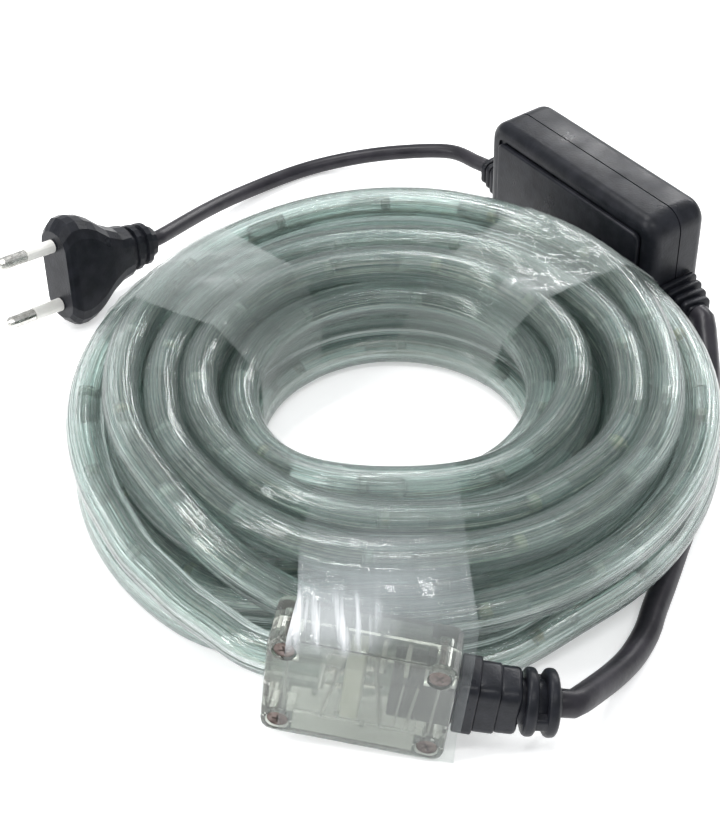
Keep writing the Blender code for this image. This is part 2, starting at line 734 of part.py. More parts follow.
def relief(name, side, bend):
    """Ribbed strain relief on one end of the controller. Returns its tip and its direction."""
    frame = axes(
        CTRL @ Vector((side * (CTRL_L / 2 + GAP), RELIEF_Z - CTRL_H / 2, 0)),
        CTRL.to_3x3() @ Vector((0, 0, side)),
        CTRL.to_3x3() @ Vector((0, 1, 0)),
        CTRL.to_3x3() @ Vector((side, 0, 0)),
    )
    loops = []

    def add(depth, width, height, radius):
        place = bent(frame, 0.0, bend, RELIEF_LENGTH, depth)
        loops.append(at(place, rounded_outline(width, height, radius, 3), 0.0))

    fin = RELIEF_LENGTH / RELIEF_FINS
    for index in range(RELIEF_FINS):
        shrink = 1 - 0.11 * index
        wide, tall = RELIEF_W * shrink, RELIEF_H * shrink
        add(index * fin, wide, tall, 1.5 * MM)
        add((index + 0.55) * fin, wide, tall, 1.5 * MM)
        if index < RELIEF_FINS - 1:
            add((index + 0.6) * fin, wide * 0.72, tall * 0.72, 1.5 * MM)
            add((index + 0.95) * fin, wide * 0.7, tall * 0.7, 1.5 * MM)
    add(RELIEF_LENGTH, OUT_D + 1.0 * MM, OUT_D + 1.0 * MM, 2.0 * MM)
    skin(name, loops, BLACK)
    end = bent(frame, 0.0, bend, RELIEF_LENGTH, RELIEF_LENGTH)
    return end @ Vector((0, 0, GAP)), end.to_3x3() @ Vector((0, 0, 1))


def plug_frame():
    """Frame on the plug's pin face: across the pins, through its thickness, and out along them."""
    turn, rise, roll = (math.radians(angle) for angle in (PLUG_AZIMUTH, PLUG_RISE, PLUG_ROLL))
    out = Vector((math.cos(rise) * math.cos(turn), math.cos(rise) * math.sin(turn), math.sin(rise)))
    side = Vector((0, 0, 1)).cross(out).normalized()
    up = out.cross(side)
    across = up * math.cos(roll) + side * math.sin(roll)
    thick = out.cross(across)
    low = abs(across.z) * (PLUG_W / 2 - 2 * MM) + abs(thick.z) * PLUG_T / 2 + 4 * MM * abs(out.z) + 2 * MM
    return axes(Vector((PLUG_X, PLUG_Y, low)), across, thick, out)


PLUG = plug_frame()


def plug():
    """Flat two-pin plug, drawn from its tail to its pin face. Returns the tail's end and direction."""
    shape = (
        (1.0, 0.27, 0.60),
        (0.94, 0.30, 0.62),
        (0.93, 0.38, 0.74),
        (0.88, 0.38, 0.74),
        (0.87, 0.32, 0.64),
        (0.83, 0.33, 0.64),
        (0.82, 0.41, 0.78),
        (0.77, 0.41, 0.78),
        (0.76, 0.36, 0.70),
        (0.72, 0.38, 0.72),
        (0.71, 0.46, 0.84),
        (0.60, 0.50, 0.90),
        (0.47, 0.64, 0.97),
        (0.34, 0.86, 1.00),
        (0.26, 0.95, 1.00),
        (0.17, 1.00, 1.00),
        (0.09, 0.99, 1.00),
        (0.035, 0.90, 0.97),
        (0.0, 0.80, 0.88),
    )
    loops = []
    for depth, width, thick in shape:
        wide, deep = PLUG_W * width, PLUG_T * thick
        outline = rounded_outline(wide, deep, 0.42 * deep, 4)
        loops.append(at(PLUG, outline, -PLUG_LENGTH * depth))
    skin("plug_body", loops, BLACK)
    for index, side in enumerate((1, -1)):
        spot = PLUG.copy()
        spot.translation = PLUG @ Vector((side * PIN_PITCH / 2, 0, 0))
        sleeve_end = GAP + SLEEVE_LENGTH
        turned(
            f"plug_sleeve_{index + 1}",
            spot,
            [(GAP, PIN_D), (sleeve_end - 0.2 * MM, PIN_D), (sleeve_end, PIN_D * 0.92)],
            WHITE_SLEEVE,
        )
        tip = sleeve_end + GAP
        turned(
            f"plug_pin_{index + 1}",
            spot,
            [
                (tip, PIN_D * 0.96),
                (tip + TIP_LENGTH - 1.6 * MM, PIN_D * 0.96),
                (tip + TIP_LENGTH - 0.5 * MM, PIN_D * 0.75),
                (tip + TIP_LENGTH, PIN_D * 0.35),
            ],
            NICKEL,
        )
    return PLUG @ Vector((0, 0, -PLUG_LENGTH - GAP)), PLUG.to_3x3() @ Vector((0, 0, -1))


rope_coil()
coil_tape("tape_left", (LEFT_LOW_ANGLE, LEFT_TOP_ANGLE, LEFT_RIM_ANGLE))
coil_tape("tape_right", (RIGHT_LOW_ANGLE, RIGHT_TOP_ANGLE, RIGHT_RIM_ANGLE))
box_tape()
splice_box()
box_inside()
rope_lead()
connector_tip, connector_way = connector()
controller()
out_tip, out_way = relief("output_relief", 1, RELIEF_BEND)
mains_tip, mains_way = relief("mains_relief", -1, -RELIEF_BEND)
plug_tail, plug_way = plug()

# Route of the output lead between the connector and the controller, in millimetres. It lies on the surface
# under the coil, and hangs between the glands and the surface at both ends.
OUT_LOW = OUT_D / 2 / MM + 0.45
OUT_ROUTE = [
    (44.4, -91.4, 9.8),
    (49.2, -85.4, 6.9),
    (53.3, -79.8, 4.9),
    (56.4, -74.8, OUT_LOW + 0.2),
    (59.1, -69.8, OUT_LOW),
    (61.4, -64.0, OUT_LOW),
    (65.6, -54.5, OUT_LOW),
    (70.5, -43.0, OUT_LOW),
    (76.0, -29.9, OUT_LOW),
    (80.4, -14.2, OUT_LOW),
    (83.6, -1.0, OUT_LOW),
    (88.0, 11.0, OUT_LOW),
    (90.2, 20.5, OUT_LOW + 0.5),
    (91.1, 28.5, OUT_LOW + 2.4),
    (91.6, 35.5, OUT_LOW + 4.7),
]
OUT_POINTS = [connector_tip / MM, (connector_tip + connector_way * OUT_STUB) / MM]
OUT_POINTS += OUT_ROUTE
OUT_POINTS += [(out_tip + out_way * OUT_STUB) / MM, out_tip / MM]
lead("output_lead", OUT_POINTS, OUT_D, BLACK_LEAD)

# Route of the mains lead between the controller and the plug, in millimetres
MAINS_LOW = MAINS_D / 2 / MM + 0.1
MAINS_ROUTE = [
    (24.3, 136.2, 9.6),
    (8.0, 141.0, 7.0),
    (-9.0, 142.5, 4.2),
    (-26.0, 138.7, MAINS_LOW),
    (-44.0, 125.0, 4.0),
    (-56.0, 110.0, 7.5),
]
MAINS_POINTS = [mains_tip / MM, (mains_tip + mains_way * MAINS_STUB) / MM]
MAINS_POINTS += MAINS_ROUTE
MAINS_POINTS += [(plug_tail + plug_way * MAINS_STUB) / MM, plug_tail / MM]
lead("mains_lead", MAINS_POINTS, MAINS_D, BLACK_LEAD)

# Stands the part, without what hangs on its leads, with its box's bottom centre on the origin
ON_LEADS = ("output_lead", "lead_connector", "mains_lead", "plug_")
bpy.context.view_layer.update()
graph = bpy.context.evaluated_depsgraph_get()
low = Vector((9.0, 9.0, 9.0))
high = Vector((-9.0, -9.0, -9.0))
for piece in bpy.context.scene.objects:
    if piece.hide_render or piece.name.startswith(ON_LEADS):
        continue
    evaluated = piece.evaluated_get(graph)
    for vertex in evaluated.to_mesh().vertices:
        for axis in range(3):
            low[axis] = min(low[axis], vertex.co[axis])
            high[axis] = max(high[axis], vertex.co[axis])
    evaluated.to_mesh_clear()
shift = Vector((-(low.x + high.x) / 2, -(low.y + high.y) / 2, -low.z))
for piece in bpy.context.scene.objects:
    piece.data.transform(Matrix.Translation(shift))
print("coil axis at", [round(value, 5) for value in shift])
print("size", [round(value, 5) for value in high - low])
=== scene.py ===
# %% [markdown]
# # A coiled rope light on its CAD frame
# The part is a rope light as it is sold: about six and a half metres of clear rope wound into a flat coil and
# held by three tapes, with a clear splice box at the rope's end, a black controller and a mains lead. It
# stays where it is, and everything here is made in its space, in metres, so a piece needs no fitting
# afterwards.

import math

import bmesh
import bpy
from mathutils import Matrix, Vector, noise


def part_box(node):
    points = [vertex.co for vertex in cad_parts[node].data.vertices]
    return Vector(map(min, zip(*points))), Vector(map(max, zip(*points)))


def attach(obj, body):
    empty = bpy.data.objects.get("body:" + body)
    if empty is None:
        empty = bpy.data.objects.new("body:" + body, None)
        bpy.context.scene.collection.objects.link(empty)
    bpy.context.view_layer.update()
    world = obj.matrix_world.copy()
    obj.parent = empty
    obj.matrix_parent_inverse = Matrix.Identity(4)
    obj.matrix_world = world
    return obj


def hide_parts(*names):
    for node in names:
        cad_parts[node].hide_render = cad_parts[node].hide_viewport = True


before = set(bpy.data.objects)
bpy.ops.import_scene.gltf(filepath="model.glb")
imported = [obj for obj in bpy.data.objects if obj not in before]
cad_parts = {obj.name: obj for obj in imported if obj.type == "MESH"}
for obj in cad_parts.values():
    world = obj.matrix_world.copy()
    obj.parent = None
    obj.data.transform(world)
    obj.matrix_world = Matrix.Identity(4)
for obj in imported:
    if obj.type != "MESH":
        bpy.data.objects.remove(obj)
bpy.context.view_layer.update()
MM = 0.001
RIM_R = 86.5 * MM
coil_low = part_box("rope_coil")[0]
AXIS = Vector((coil_low.x + RIM_R, coil_low.y + RIM_R, 0))
print("coil axis", [round(value, 5) for value in AXIS])

# %% [markdown]
# ## Camera
# The photograph looks down on the coil at about 41 degrees from half a metre away, with the camera turned a
# little on its own axis. A camera fitted to the coil's outline gives the place and the lens. Building the
# camera's axes by hand, and not with a Track To, keeps that small turn.

# %% Camera
TILT = math.radians(41.49)
TURN = math.radians(2.16)
FOCAL_PIXELS = 1664.0
PICTURE_HEIGHT = 826.0
EYE = (-8.75, -335.7, 312.3)
aside = Vector((1, 0, 0))
upward = Vector((0, math.sin(TILT), math.cos(TILT)))
ahead = Vector((0, math.cos(TILT), -math.sin(TILT)))
eye_x = aside * math.cos(TURN) - upward * math.sin(TURN)
eye_y = aside * math.sin(TURN) + upward * math.cos(TURN)
eye = AXIS + Vector(EYE) * MM
camera_data = bpy.data.cameras.new("camera")
camera_data.sensor_width = 36.0
camera_data.lens = FOCAL_PIXELS * camera_data.sensor_width / PICTURE_HEIGHT
camera_data.clip_start = 0.01
camera = bpy.data.objects.new("camera", camera_data)
camera.matrix_world = Matrix((eye_x, eye_y, -ahead)).transposed().to_4x4()
camera.matrix_world.translation = eye
bpy.context.scene.collection.objects.link(camera)
bpy.context.scene.camera = camera
print("lens", round(camera_data.lens, 2), "mm")

# %% [markdown]
# ## Light and floor
# A product photograph like this one is lit from all round, on white. A white world gives that even light, and
# four long lamps add the gleams along the rope and on the black mouldings. The paper floor glows a little, so
# that it stays white beside the shadows. The standard view transform keeps white white.

# %% World and lamps
scene = bpy.context.scene
scene.view_settings.view_transform = "Standard"
scene.cycles.max_bounces = 14
scene.cycles.transmission_bounces = 14
scene.cycles.transparent_max_bounces = 24
scene.cycles.sample_clamp_indirect = 6.0
world = bpy.data.worlds.new("white_room")
world.use_nodes = True
background = world.node_tree.nodes["Background"]
background.inputs["Color"].default_value = (0.96, 0.98, 1.0, 1.0)
background.inputs["Strength"].default_value = 0.66
scene.world = world


def lamp(name, place, size, power):
    """A long soft lamp that looks at the coil."""
    data = bpy.data.lights.new(name, "AREA")
    data.shape = "RECTANGLE"
    data.size, data.size_y = size
    data.energy = power
    made = bpy.data.objects.new(name, data)
    made.matrix_world = (-Vector(place)).to_track_quat("-Z", "Y").to_matrix().to_4x4()
    made.matrix_world.translation = Vector(place)
    scene.collection.objects.link(made)


lamp("top_lamp", (-0.25, 0.35, 1.1), (0.7, 0.12), 7.0)
lamp("left_lamp", (-0.9, -0.3, 0.7), (0.1, 0.8), 5.0)
lamp("back_lamp", (0.5, 0.9, 0.6), (0.8, 0.1), 6.0)
lamp("front_lamp", (0.1, -0.5, 1.0), (0.6, 0.06), 3.0)

# %% Floor
floor_shape = bmesh.new()
bmesh.ops.create_grid(floor_shape, x_segments=1, y_segments=1, size=3.0)
floor_mesh = bpy.data.meshes.new("floor")
floor_shape.to_mesh(floor_mesh)
floor_shape.free()
floor = bpy.data.objects.new("floor", floor_mesh)
floor_look = bpy.data.materials.new("white_paper")
floor_look.use_nodes = True
paper = floor_look.node_tree.nodes["Principled BSDF"]
paper.inputs["Base Color"].default_value = (0.97, 0.97, 0.97, 1)
paper.inputs["Roughness"].default_value = 0.9
paper.inputs["Emission Color"].default_value = (1, 1, 1, 1)
paper.inputs["Emission Strength"].default_value = 0.4
floor_mesh.materials.append(floor_look)
scene.collection.objects.link(floor)
print("lamps and floor ready")

# %% [markdown]
# ## Helpers for finishes
# Each finish is a Principled shader with its detail from noise on Object coordinates. These short helpers add
# one kind of detail each: speckled colour, uneven gloss, and a fine surface relief.

# %% Finish helpers
NOISE_LOW, NOISE_HIGH = 0.3, 0.7  # most of a noise lies between these


def finish(name, colour, roughness, metallic=0.0):
    """A Principled material, with its node tree and shader."""
    material = bpy.data.materials.new(name)
    material.use_nodes = True
    tree = material.node_tree
    shader = tree.nodes["Principled BSDF"]
    shader.inputs["Base Color"].default_value = (*colour, 1.0)
    shader.inputs["Roughness"].default_value = roughness
    shader.inputs["Metallic"].default_value = metallic
    return material, tree, shader


def grain(tree, scale, detail=4.0, stretch=(1.0, 1.0, 1.0), source="Object"):
    """Noise over the piece, stretched where it was drawn. A tube brings its own coordinate, lay."""
    if source == "lay":
        place = tree.nodes.new("ShaderNodeAttribute")
        place.attribute_name = "lay"
        source = "Vector"
    else:
        place = tree.nodes.new("ShaderNodeTexCoord")
    mapping = tree.nodes.new("ShaderNodeMapping")
    mapping.inputs["Scale"].default_value = stretch
    pattern = tree.nodes.new("ShaderNodeTexNoise")
    pattern.inputs["Scale"].default_value = scale
    pattern.inputs["Detail"].default_value = detail
    tree.links.new(place.outputs[source], mapping.inputs["Vector"])
    tree.links.new(mapping.outputs["Vector"], pattern.inputs["Vector"])
    return pattern.outputs["Fac"]


def colour_between(tree, shader, amount, first, second, low=0.35, high=0.65):
    """Base colour that runs between two colours."""
    ramp = tree.nodes.new("ShaderNodeValToRGB")
    ramp.color_ramp.elements[0].position = low
    ramp.color_ramp.elements[0].color = (*first, 1.0)
    ramp.color_ramp.elements[1].position = high
    ramp.color_ramp.elements[1].color = (*second, 1.0)
    tree.links.new(amount, ramp.inputs["Fac"])
    tree.links.new(ramp.outputs["Color"], shader.inputs["Base Color"])


def value_between(tree, socket, amount, low, high):
    """Any socket driven between two values."""
    scale = tree.nodes.new("ShaderNodeMapRange")
    scale.inputs["From Min"].default_value = NOISE_LOW
    scale.inputs["From Max"].default_value = NOISE_HIGH
    scale.inputs["To Min"].default_value = low
    scale.inputs["To Max"].default_value = high
    tree.links.new(amount, scale.inputs["Value"])
    tree.links.new(scale.outputs["Result"], socket)


def relief_from(tree, shader, height, distance, strength=1.0):
    """Bump, in metres of height."""
    bump = tree.nodes.new("ShaderNodeBump")
    bump.inputs["Distance"].default_value = distance
    bump.inputs["Strength"].default_value = strength
    tree.links.new(height, bump.inputs["Height"])
    tree.links.new(bump.outputs["Normal"], shader.inputs["Normal"])


print("finish helpers ready")

# %% [markdown]
# ## Finishes
# The black mouldings are satin plastic with a fine spark-eroded grain. The leads' sheath is drawn smooth, so
# it has a softer gleam. The clear plastics differ: the rope is hazy, streaked along its length and a little
# green, and the splice box is clearer. The tape's film has a finish of its own, made where the tapes are.

# %% Black plastics
moulding, tree, shader = finish("black_moulding", (0.016, 0.017, 0.021), 0.42)
shader.inputs["Specular IOR Level"].default_value = 0.2
colour_between(tree, shader, grain(tree, 260.0), (0.007, 0.008, 0.011), (0.015, 0.016, 0.021))
value_between(tree, shader.inputs["Roughness"], grain(tree, 90.0), 0.26, 0.46)
relief_from(tree, shader, grain(tree, 1500.0, 2.0), 0.00005)

sheath, tree, shader = finish("black_sheath", (0.018, 0.016, 0.021), 0.36)
shader.inputs["Specular IOR Level"].default_value = 0.26
colour_between(tree, shader, grain(tree, 120.0), (0.014, 0.013, 0.017), (0.027, 0.025, 0.031))
value_between(tree, shader.inputs["Roughness"], grain(tree, 60.0), 0.3, 0.44)
relief_from(tree, shader, grain(tree, 420.0, 3.0), 0.0001)
print("black finishes ready")

# %% Clear plastics
rope_clear, tree, shader = finish("clear_rope", (0.72, 0.82, 0.78), 0.03)
shader.inputs["Transmission Weight"].default_value = 0.94
shader.inputs["IOR"].default_value = 1.4
streaks = grain(tree, 1.0, 4.0, (13.0, 13.0, 0.35), "lay")
colour_between(tree, shader, streaks, (0.46, 0.585, 0.55), (0.95, 0.985, 0.97), 0.42, 0.60)
value_between(tree, shader.inputs["Roughness"], grain(tree, 1.0, 2.0, (7.0, 7.0, 3.0), "lay"), 0.0, 0.03)
relief_from(tree, shader, grain(tree, 1.0, 2.0, (8.0, 8.0, 0.25), "lay"), 0.0003)

case_clear, tree, shader = finish("clear_case", (0.86, 0.89, 0.86), 0.06)
shader.inputs["Transmission Weight"].default_value = 0.94
shader.inputs["IOR"].default_value = 1.45
colour_between(tree, shader, grain(tree, 70.0), (0.66, 0.68, 0.635), (0.80, 0.815, 0.77))
value_between(tree, shader.inputs["Roughness"], grain(tree, 200.0), 0.04, 0.14)
relief_from(tree, shader, grain(tree, 160.0, 2.0), 0.0001)

rib_clear, tree, shader = finish("clear_rib", (0.88, 0.89, 0.85), 0.12)
shader.inputs["Transmission Weight"].default_value = 0.7
colour_between(tree, shader, grain(tree, 300.0), (0.82, 0.83, 0.79), (0.93, 0.94, 0.91))

led_clear, tree, shader = finish("led_epoxy", (0.95, 0.96, 0.94), 0.03)
shader.inputs["Transmission Weight"].default_value = 0.82
colour_between(tree, shader, grain(tree, 420.0), (0.86, 0.89, 0.87), (0.98, 0.99, 0.98))
shader.inputs["IOR"].default_value = 1.5
value_between(tree, shader.inputs["Roughness"], grain(tree, 300.0), 0.02, 0.12)
print("clear finishes ready")

# %% Metals, ivory and small finishes
ivory, tree, shader = finish("ivory_plastic", (0.76, 0.77, 0.66), 0.4)
colour_between(tree, shader, grain(tree, 240.0), (0.72, 0.73, 0.62), (0.82, 0.83, 0.74))
relief_from(tree, shader, grain(tree, 900.0), 0.0001)

screw_steel, tree, shader = finish("passivated_steel", (0.25, 0.19, 0.17), 0.4, 1.0)
colour_between(tree, shader, grain(tree, 700.0), (0.085, 0.064, 0.058), (0.20, 0.162, 0.15))
value_between(tree, shader.inputs["Roughness"], grain(tree, 900.0), 0.28, 0.5)

tin, tree, shader = finish("tinned_contact", (0.82, 0.80, 0.76), 0.2, 1.0)
value_between(tree, shader.inputs["Roughness"], grain(tree, 900.0), 0.12, 0.35)

nickel, tree, shader = finish("nickel_pin", (0.66, 0.65, 0.62), 0.25, 1.0)
colour_between(tree, shader, grain(tree, 500.0), (0.50, 0.49, 0.46), (0.74, 0.73, 0.70))
value_between(tree, shader.inputs["Roughness"], grain(tree, 800.0, 3.0, (1, 1, 6)), 0.18, 0.42)

sleeve_white, tree, shader = finish("white_sleeve", (0.78, 0.77, 0.73), 0.42)
colour_between(tree, shader, grain(tree, 200.0), (0.74, 0.73, 0.69), (0.82, 0.81, 0.78))
relief_from(tree, shader, grain(tree, 700.0), 0.00008)

copper, tree, shader = finish("tinned_wire", (0.62, 0.56, 0.48), 0.35, 1.0)
colour_between(tree, shader, grain(tree, 400.0), (0.45, 0.40, 0.34), (0.72, 0.68, 0.62))

phosphor, tree, shader = finish("led_phosphor", (0.66, 0.58, 0.30), 0.5)
colour_between(tree, shader, grain(tree, 60.0), (0.60, 0.62, 0.55), (0.72, 0.64, 0.36), 0.5, 0.66)
print("small finishes ready")

# %% [markdown]
# ## Mesh helper
# A bmesh becomes an object here. Doubles are merged and the normals are turned outward first, and edges
# sharper than the given angle stay crisp under smooth shading.

# %% Mesh helper
WELD = 2e-6


def piece_from(name, shape, material, sharp=30.0):
    """Object from a bmesh, riding on the part's body."""
    bmesh.ops.remove_doubles(shape, verts=shape.verts, dist=WELD)
    bmesh.ops.recalc_face_normals(shape, faces=shape.faces)
    mesh = bpy.data.meshes.new(name)
    shape.to_mesh(mesh)
    shape.free()
    mesh.materials.append(material)
    mesh.shade_smooth()
    mesh.set_sharp_from_angle(angle=math.radians(sharp))
    made = bpy.data.objects.new(name, mesh)
    scene.collection.objects.link(made)
    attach(made, "root")
    print(name, len(mesh.polygons), "faces")
    return made


def axes(origin, first, second, third):
    """Frame from its origin and its three unit axes."""
    matrix = Matrix((first, second, third)).transposed().to_4x4()
    matrix.translation = origin
    return matrix


def bent(place, start, bend, length, depth):
    """Frame at a depth along a neck that is straight to start and then turns towards its first axis."""
    turn = math.radians(bend) * min(1.0, max(0.0, (depth - start) / length))
    if abs(turn) < 1e-6:
        return place @ Matrix.Translation((0, 0, depth))
    radius = length / math.radians(bend)
    past = max(0.0, depth - start - length)
    across = radius * (1 - math.cos(turn)) + past * math.sin(turn)
    along = start + radius * math.sin(turn) + past * math.cos(turn)
    return place @ Matrix.Translation((across, 0, along)) @ Matrix.Rotation(turn, 4, "Y")


# %% [markdown]
# ## Where the small parts stand
# The splice box leans on the coil's front, the controller stands behind the coil on its long narrow side, and
# the plug lies on its edge. Each gets a frame with the same numbers as in the CAD source, so every new piece
# drops into its place.

# %% Frame of the splice box
GAP = 0.35 * MM
BOX_W, BOX_H, BOX_DEPTH = 42.5 * MM, 31.5 * MM, 14.0 * MM
BOX_WALL, BOX_STANDOFF, BOX_X = 1.5 * MM, 0.6 * MM, -12 * MM
BOX_YAW, BOX_LEAN, BOX_ROLL = -10.5, -2.0, 7.0
TAPE_THICK = 0.4 * MM
LEAD_RISE, ROPE_RISE = 1.2 * MM, 1.5 * MM
yaw = Matrix.Rotation(math.radians(BOX_YAW), 3, "Z")
box_right, box_out, box_up = yaw @ Vector((1, 0, 0)), yaw @ Vector((0, -1, 0)), Vector((0, 0, 1))
lean = Matrix.Rotation(math.radians(BOX_LEAN), 3, box_right)
box_up, box_out = lean @ box_up, lean @ box_out
roll = Matrix.Rotation(math.radians(BOX_ROLL), 3, -box_out)
box_right, box_up = roll @ box_right, roll @ box_up
corner_heights = [x * BOX_W / 2 * box_right.z + y * BOX_H / 2 * box_up.z for x in (-1, 1) for y in (-1, 1)]
box_height = TAPE_THICK + GAP - min(corner_heights) + max(0.0, BOX_DEPTH * box_out.z)
flat_out = Vector((box_out.x, box_out.y)).normalized()
stand = RIM_R + GAP + BOX_STANDOFF + BOX_DEPTH * Vector((box_out.x, box_out.y)).length
stand += abs(box_up.y) * BOX_H / 2
BOX = axes(
    AXIS + Vector((BOX_X, (stand - BOX_X * flat_out.x) / flat_out.y, box_height)), box_right, box_up, box_out
)
MID = -BOX_DEPTH / 2
LEAD_FRAME = axes(BOX @ Vector((0, LEAD_RISE, MID)), -box_out, box_up, box_right)
ROPE_FRAME = axes(BOX @ Vector((0, ROPE_RISE, MID)), box_out, box_up, -box_right)
print("splice box at", [round(value * 1000, 1) for value in BOX.translation])

# %% Frames of the controller and the plug
CTRL_L, CTRL_T, CTRL_H = 74.5 * MM, 21.0 * MM, 38.0 * MM
PANEL_RISE, CTRL_STANDOFF = 1.3 * MM, 1.8 * MM
CTRL_FACING, CTRL_SLIDE = 33.9, -34.6
facing = math.radians(CTRL_FACING)
away = Vector((math.cos(facing), math.sin(facing), 0))
along = Vector((away.y, -away.x, 0))
seam = RIM_R + GAP + TAPE_THICK + CTRL_STANDOFF + PANEL_RISE + CTRL_T / 2
centre = AXIS + away * seam + along * CTRL_SLIDE * MM + Vector((0, 0, CTRL_H / 2))
CTRL = axes(centre, along, Vector((0, 0, 1)), -away)
PLUG_W, PLUG_T, PLUG_LENGTH = 34.0 * MM, 13.7 * MM, 35.0 * MM
PLUG_X, PLUG_Y, PLUG_ANGLES = -97.0 * MM, 63.4 * MM, (223.0, 9.0, -11.0)
turn, rise, tip_roll = (math.radians(angle) for angle in PLUG_ANGLES)
plug_out = Vector((math.cos(rise) * math.cos(turn), math.cos(rise) * math.sin(turn), math.sin(rise)))
plug_side = Vector((0, 0, 1)).cross(plug_out).normalized()
plug_across = plug_out.cross(plug_side) * math.cos(tip_roll) + plug_side * math.sin(tip_roll)
plug_thick = plug_out.cross(plug_across)
plug_low = abs(plug_across.z) * (PLUG_W / 2 - 2 * MM) + abs(plug_thick.z) * PLUG_T / 2
plug_low += 4 * MM * abs(plug_out.z) + 2 * MM
PLUG = axes(AXIS + Vector((PLUG_X, PLUG_Y, plug_low)), plug_across, plug_thick, plug_out)
for name, place in (("controller", CTRL), ("plug", PLUG)):
    print(name, "at", [round(value * 1000, 1) for value in place.translation])

# %% [markdown]
# ## Leads
# The output lead runs from the moulded connector under the coil to the controller, and the mains lead from
# there to the plug. Both lie on the surface and rise to their glands. A curve with a round bevel, through
# the route's own points, is the natural way to make a cord, and it keeps its real length.

# %% Ends of the leads
OUT_D, MAINS_D = 6.6 * MM, 4.8 * MM
COLLAR, COLLAR_LENGTH, FLANGE_THICK, FLANGE_GROOVE = BOX_W / 2 + GAP, 14.4 * MM, 3.0 * MM, 1.7 * MM
FLANGES = COLLAR + COLLAR_LENGTH
NECK_TIP = FLANGES + 2 * (FLANGE_THICK + FLANGE_GROOVE) - 0.5 * MM
RELIEF_LENGTH, RELIEF_BEND, NECK_BEND = 11.5 * MM, 14.0, 12.0
GLAND_HEIGHT = 10.5 * MM


def relief_frame(side):
    """Frame of a strain relief, on an end of the controller."""
    turned = CTRL.to_3x3()
    origin = CTRL @ Vector((side * (CTRL_L / 2 + GAP), GLAND_HEIGHT - CTRL_H / 2, 0))
    return axes(origin, *(turned @ Vector(way) for way in ((0, 0, side), (0, 1, 0), (side, 0, 0))))


def tip_of(place):
    """End of a gland, a gap beyond its face, and the direction it points."""
    return place @ Vector((0, 0, GAP)), place.to_3x3() @ Vector((0, 0, 1))


connector_tip, connector_way = tip_of(bent(LEAD_FRAME, COLLAR, NECK_BEND, NECK_TIP - COLLAR, NECK_TIP))
out_tip, out_way = tip_of(bent(relief_frame(1), 0.0, RELIEF_BEND, RELIEF_LENGTH, RELIEF_LENGTH))
mains_tip, mains_way = tip_of(bent(relief_frame(-1), 0.0, -RELIEF_BEND, RELIEF_LENGTH, RELIEF_LENGTH))
plug_tail, plug_way = PLUG @ Vector((0, 0, -PLUG_LENGTH - GAP)), -plug_out
gland_tips = {"connector": connector_tip, "output": out_tip, "mains": mains_tip, "plug": plug_tail}
for name, tip in gland_tips.items():
    print(name, "gland ends at", [round(value * 1000, 1) for value in tip])

# %% Cord through a route
ROUTE_STEPS = 40


def length_of(line):
    """Length of a line of points."""
    return sum((b - a).length for a, b in zip(line, line[1:]))


def evenly(line, count):
    """The starts of this many equal lengths along a line of points."""
    total, even, run = length_of(line), [line[0]], 0.0
    for a, b in zip(line, line[1:]):
        step = (b - a).length
        while len(even) < count and run + step >= total * len(even) / count:
            even.append(a.lerp(b, (total * len(even) / count - run) / step))
        run += step
    return even


def smooth_route(route, spacing):
    """Even points on a smooth curve through the route's points, and the curve's length."""
    route = [route[0] * 2 - route[1]] + route + [route[-1] * 2 - route[-2]]
    fine = []
    for before, start, end, after in zip(route, route[1:], route[2:], route[3:]):
        for step in range(ROUTE_STEPS):
            t = step / ROUTE_STEPS
            bow = (2 * before - 5 * start + 4 * end - after) * t**2
            twist = (3 * start - before - 3 * end + after) * t**3
            fine.append(0.5 * (2 * start + (end - before) * t + bow + twist))
    fine.append(route[-2].copy())
    total = length_of(fine)
    return evenly(fine, max(2, round(total / spacing))) + [fine[-1]], total


def lead(name, route, diameter):
    """Round lead through its route."""
    even, total = smooth_route(route, 0.45 * diameter)
    curve = bpy.data.curves.new(name, "CURVE")
    curve.dimensions = "3D"
    curve.bevel_depth = diameter / 2
    curve.bevel_resolution = 7
    curve.use_fill_caps = True
    spline = curve.splines.new("POLY")
    spline.points.add(len(even) - 1)
    for point, place in zip(spline.points, even):
        point.co = (*place, 1.0)
    curve.materials.append(sheath)
    made = bpy.data.objects.new(name, curve)
    scene.collection.objects.link(made)
    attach(made, "root")
    print(name, "length", round(total, 4))
    return made, total


print("cord helpers ready")

# %% Routes of the leads, in millimetres from the coil's axis
OUT_ROUTE = (
    (44.4, -91.4, 9.8), (49.2, -85.4, 6.9), (53.3, -79.8, 4.9), (56.4, -74.8, 3.95), (59.1, -69.8, 3.75),
    (61.4, -64.0, 3.75), (65.6, -54.5, 3.75), (70.5, -43.0, 3.75), (76.0, -29.9, 3.75), (80.4, -14.2, 3.75),
    (83.6, -1.0, 3.75), (88.0, 11.0, 3.75), (90.2, 20.5, 4.25), (91.1, 28.5, 6.15), (91.6, 35.5, 8.45),
)
MAINS_ROUTE = (
    (24.3, 136.2, 9.6), (8.0, 141.0, 7.0), (-9.0, 142.5, 4.2), (-26.0, 138.7, 2.5), (-44.0, 125.0, 4.0),
    (-56.0, 110.0, 7.5),
)
out_route = [connector_tip, connector_tip + connector_way * 3 * MM]
out_route += [AXIS + Vector(point) * MM for point in OUT_ROUTE]
out_route += [out_tip + out_way * 3 * MM, out_tip]
mains_route = [mains_tip, mains_tip + mains_way * 4 * MM]
mains_route += [AXIS + Vector(point) * MM for point in MAINS_ROUTE]
mains_route += [plug_tail + plug_way * 4 * MM, plug_tail]
output_lead, out_length = lead("scene_output_lead", out_route, OUT_D)
mains_lead, mains_length = lead("scene_mains_lead", mains_route, MAINS_D)
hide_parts("output_lead")
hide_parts("mains_lead")

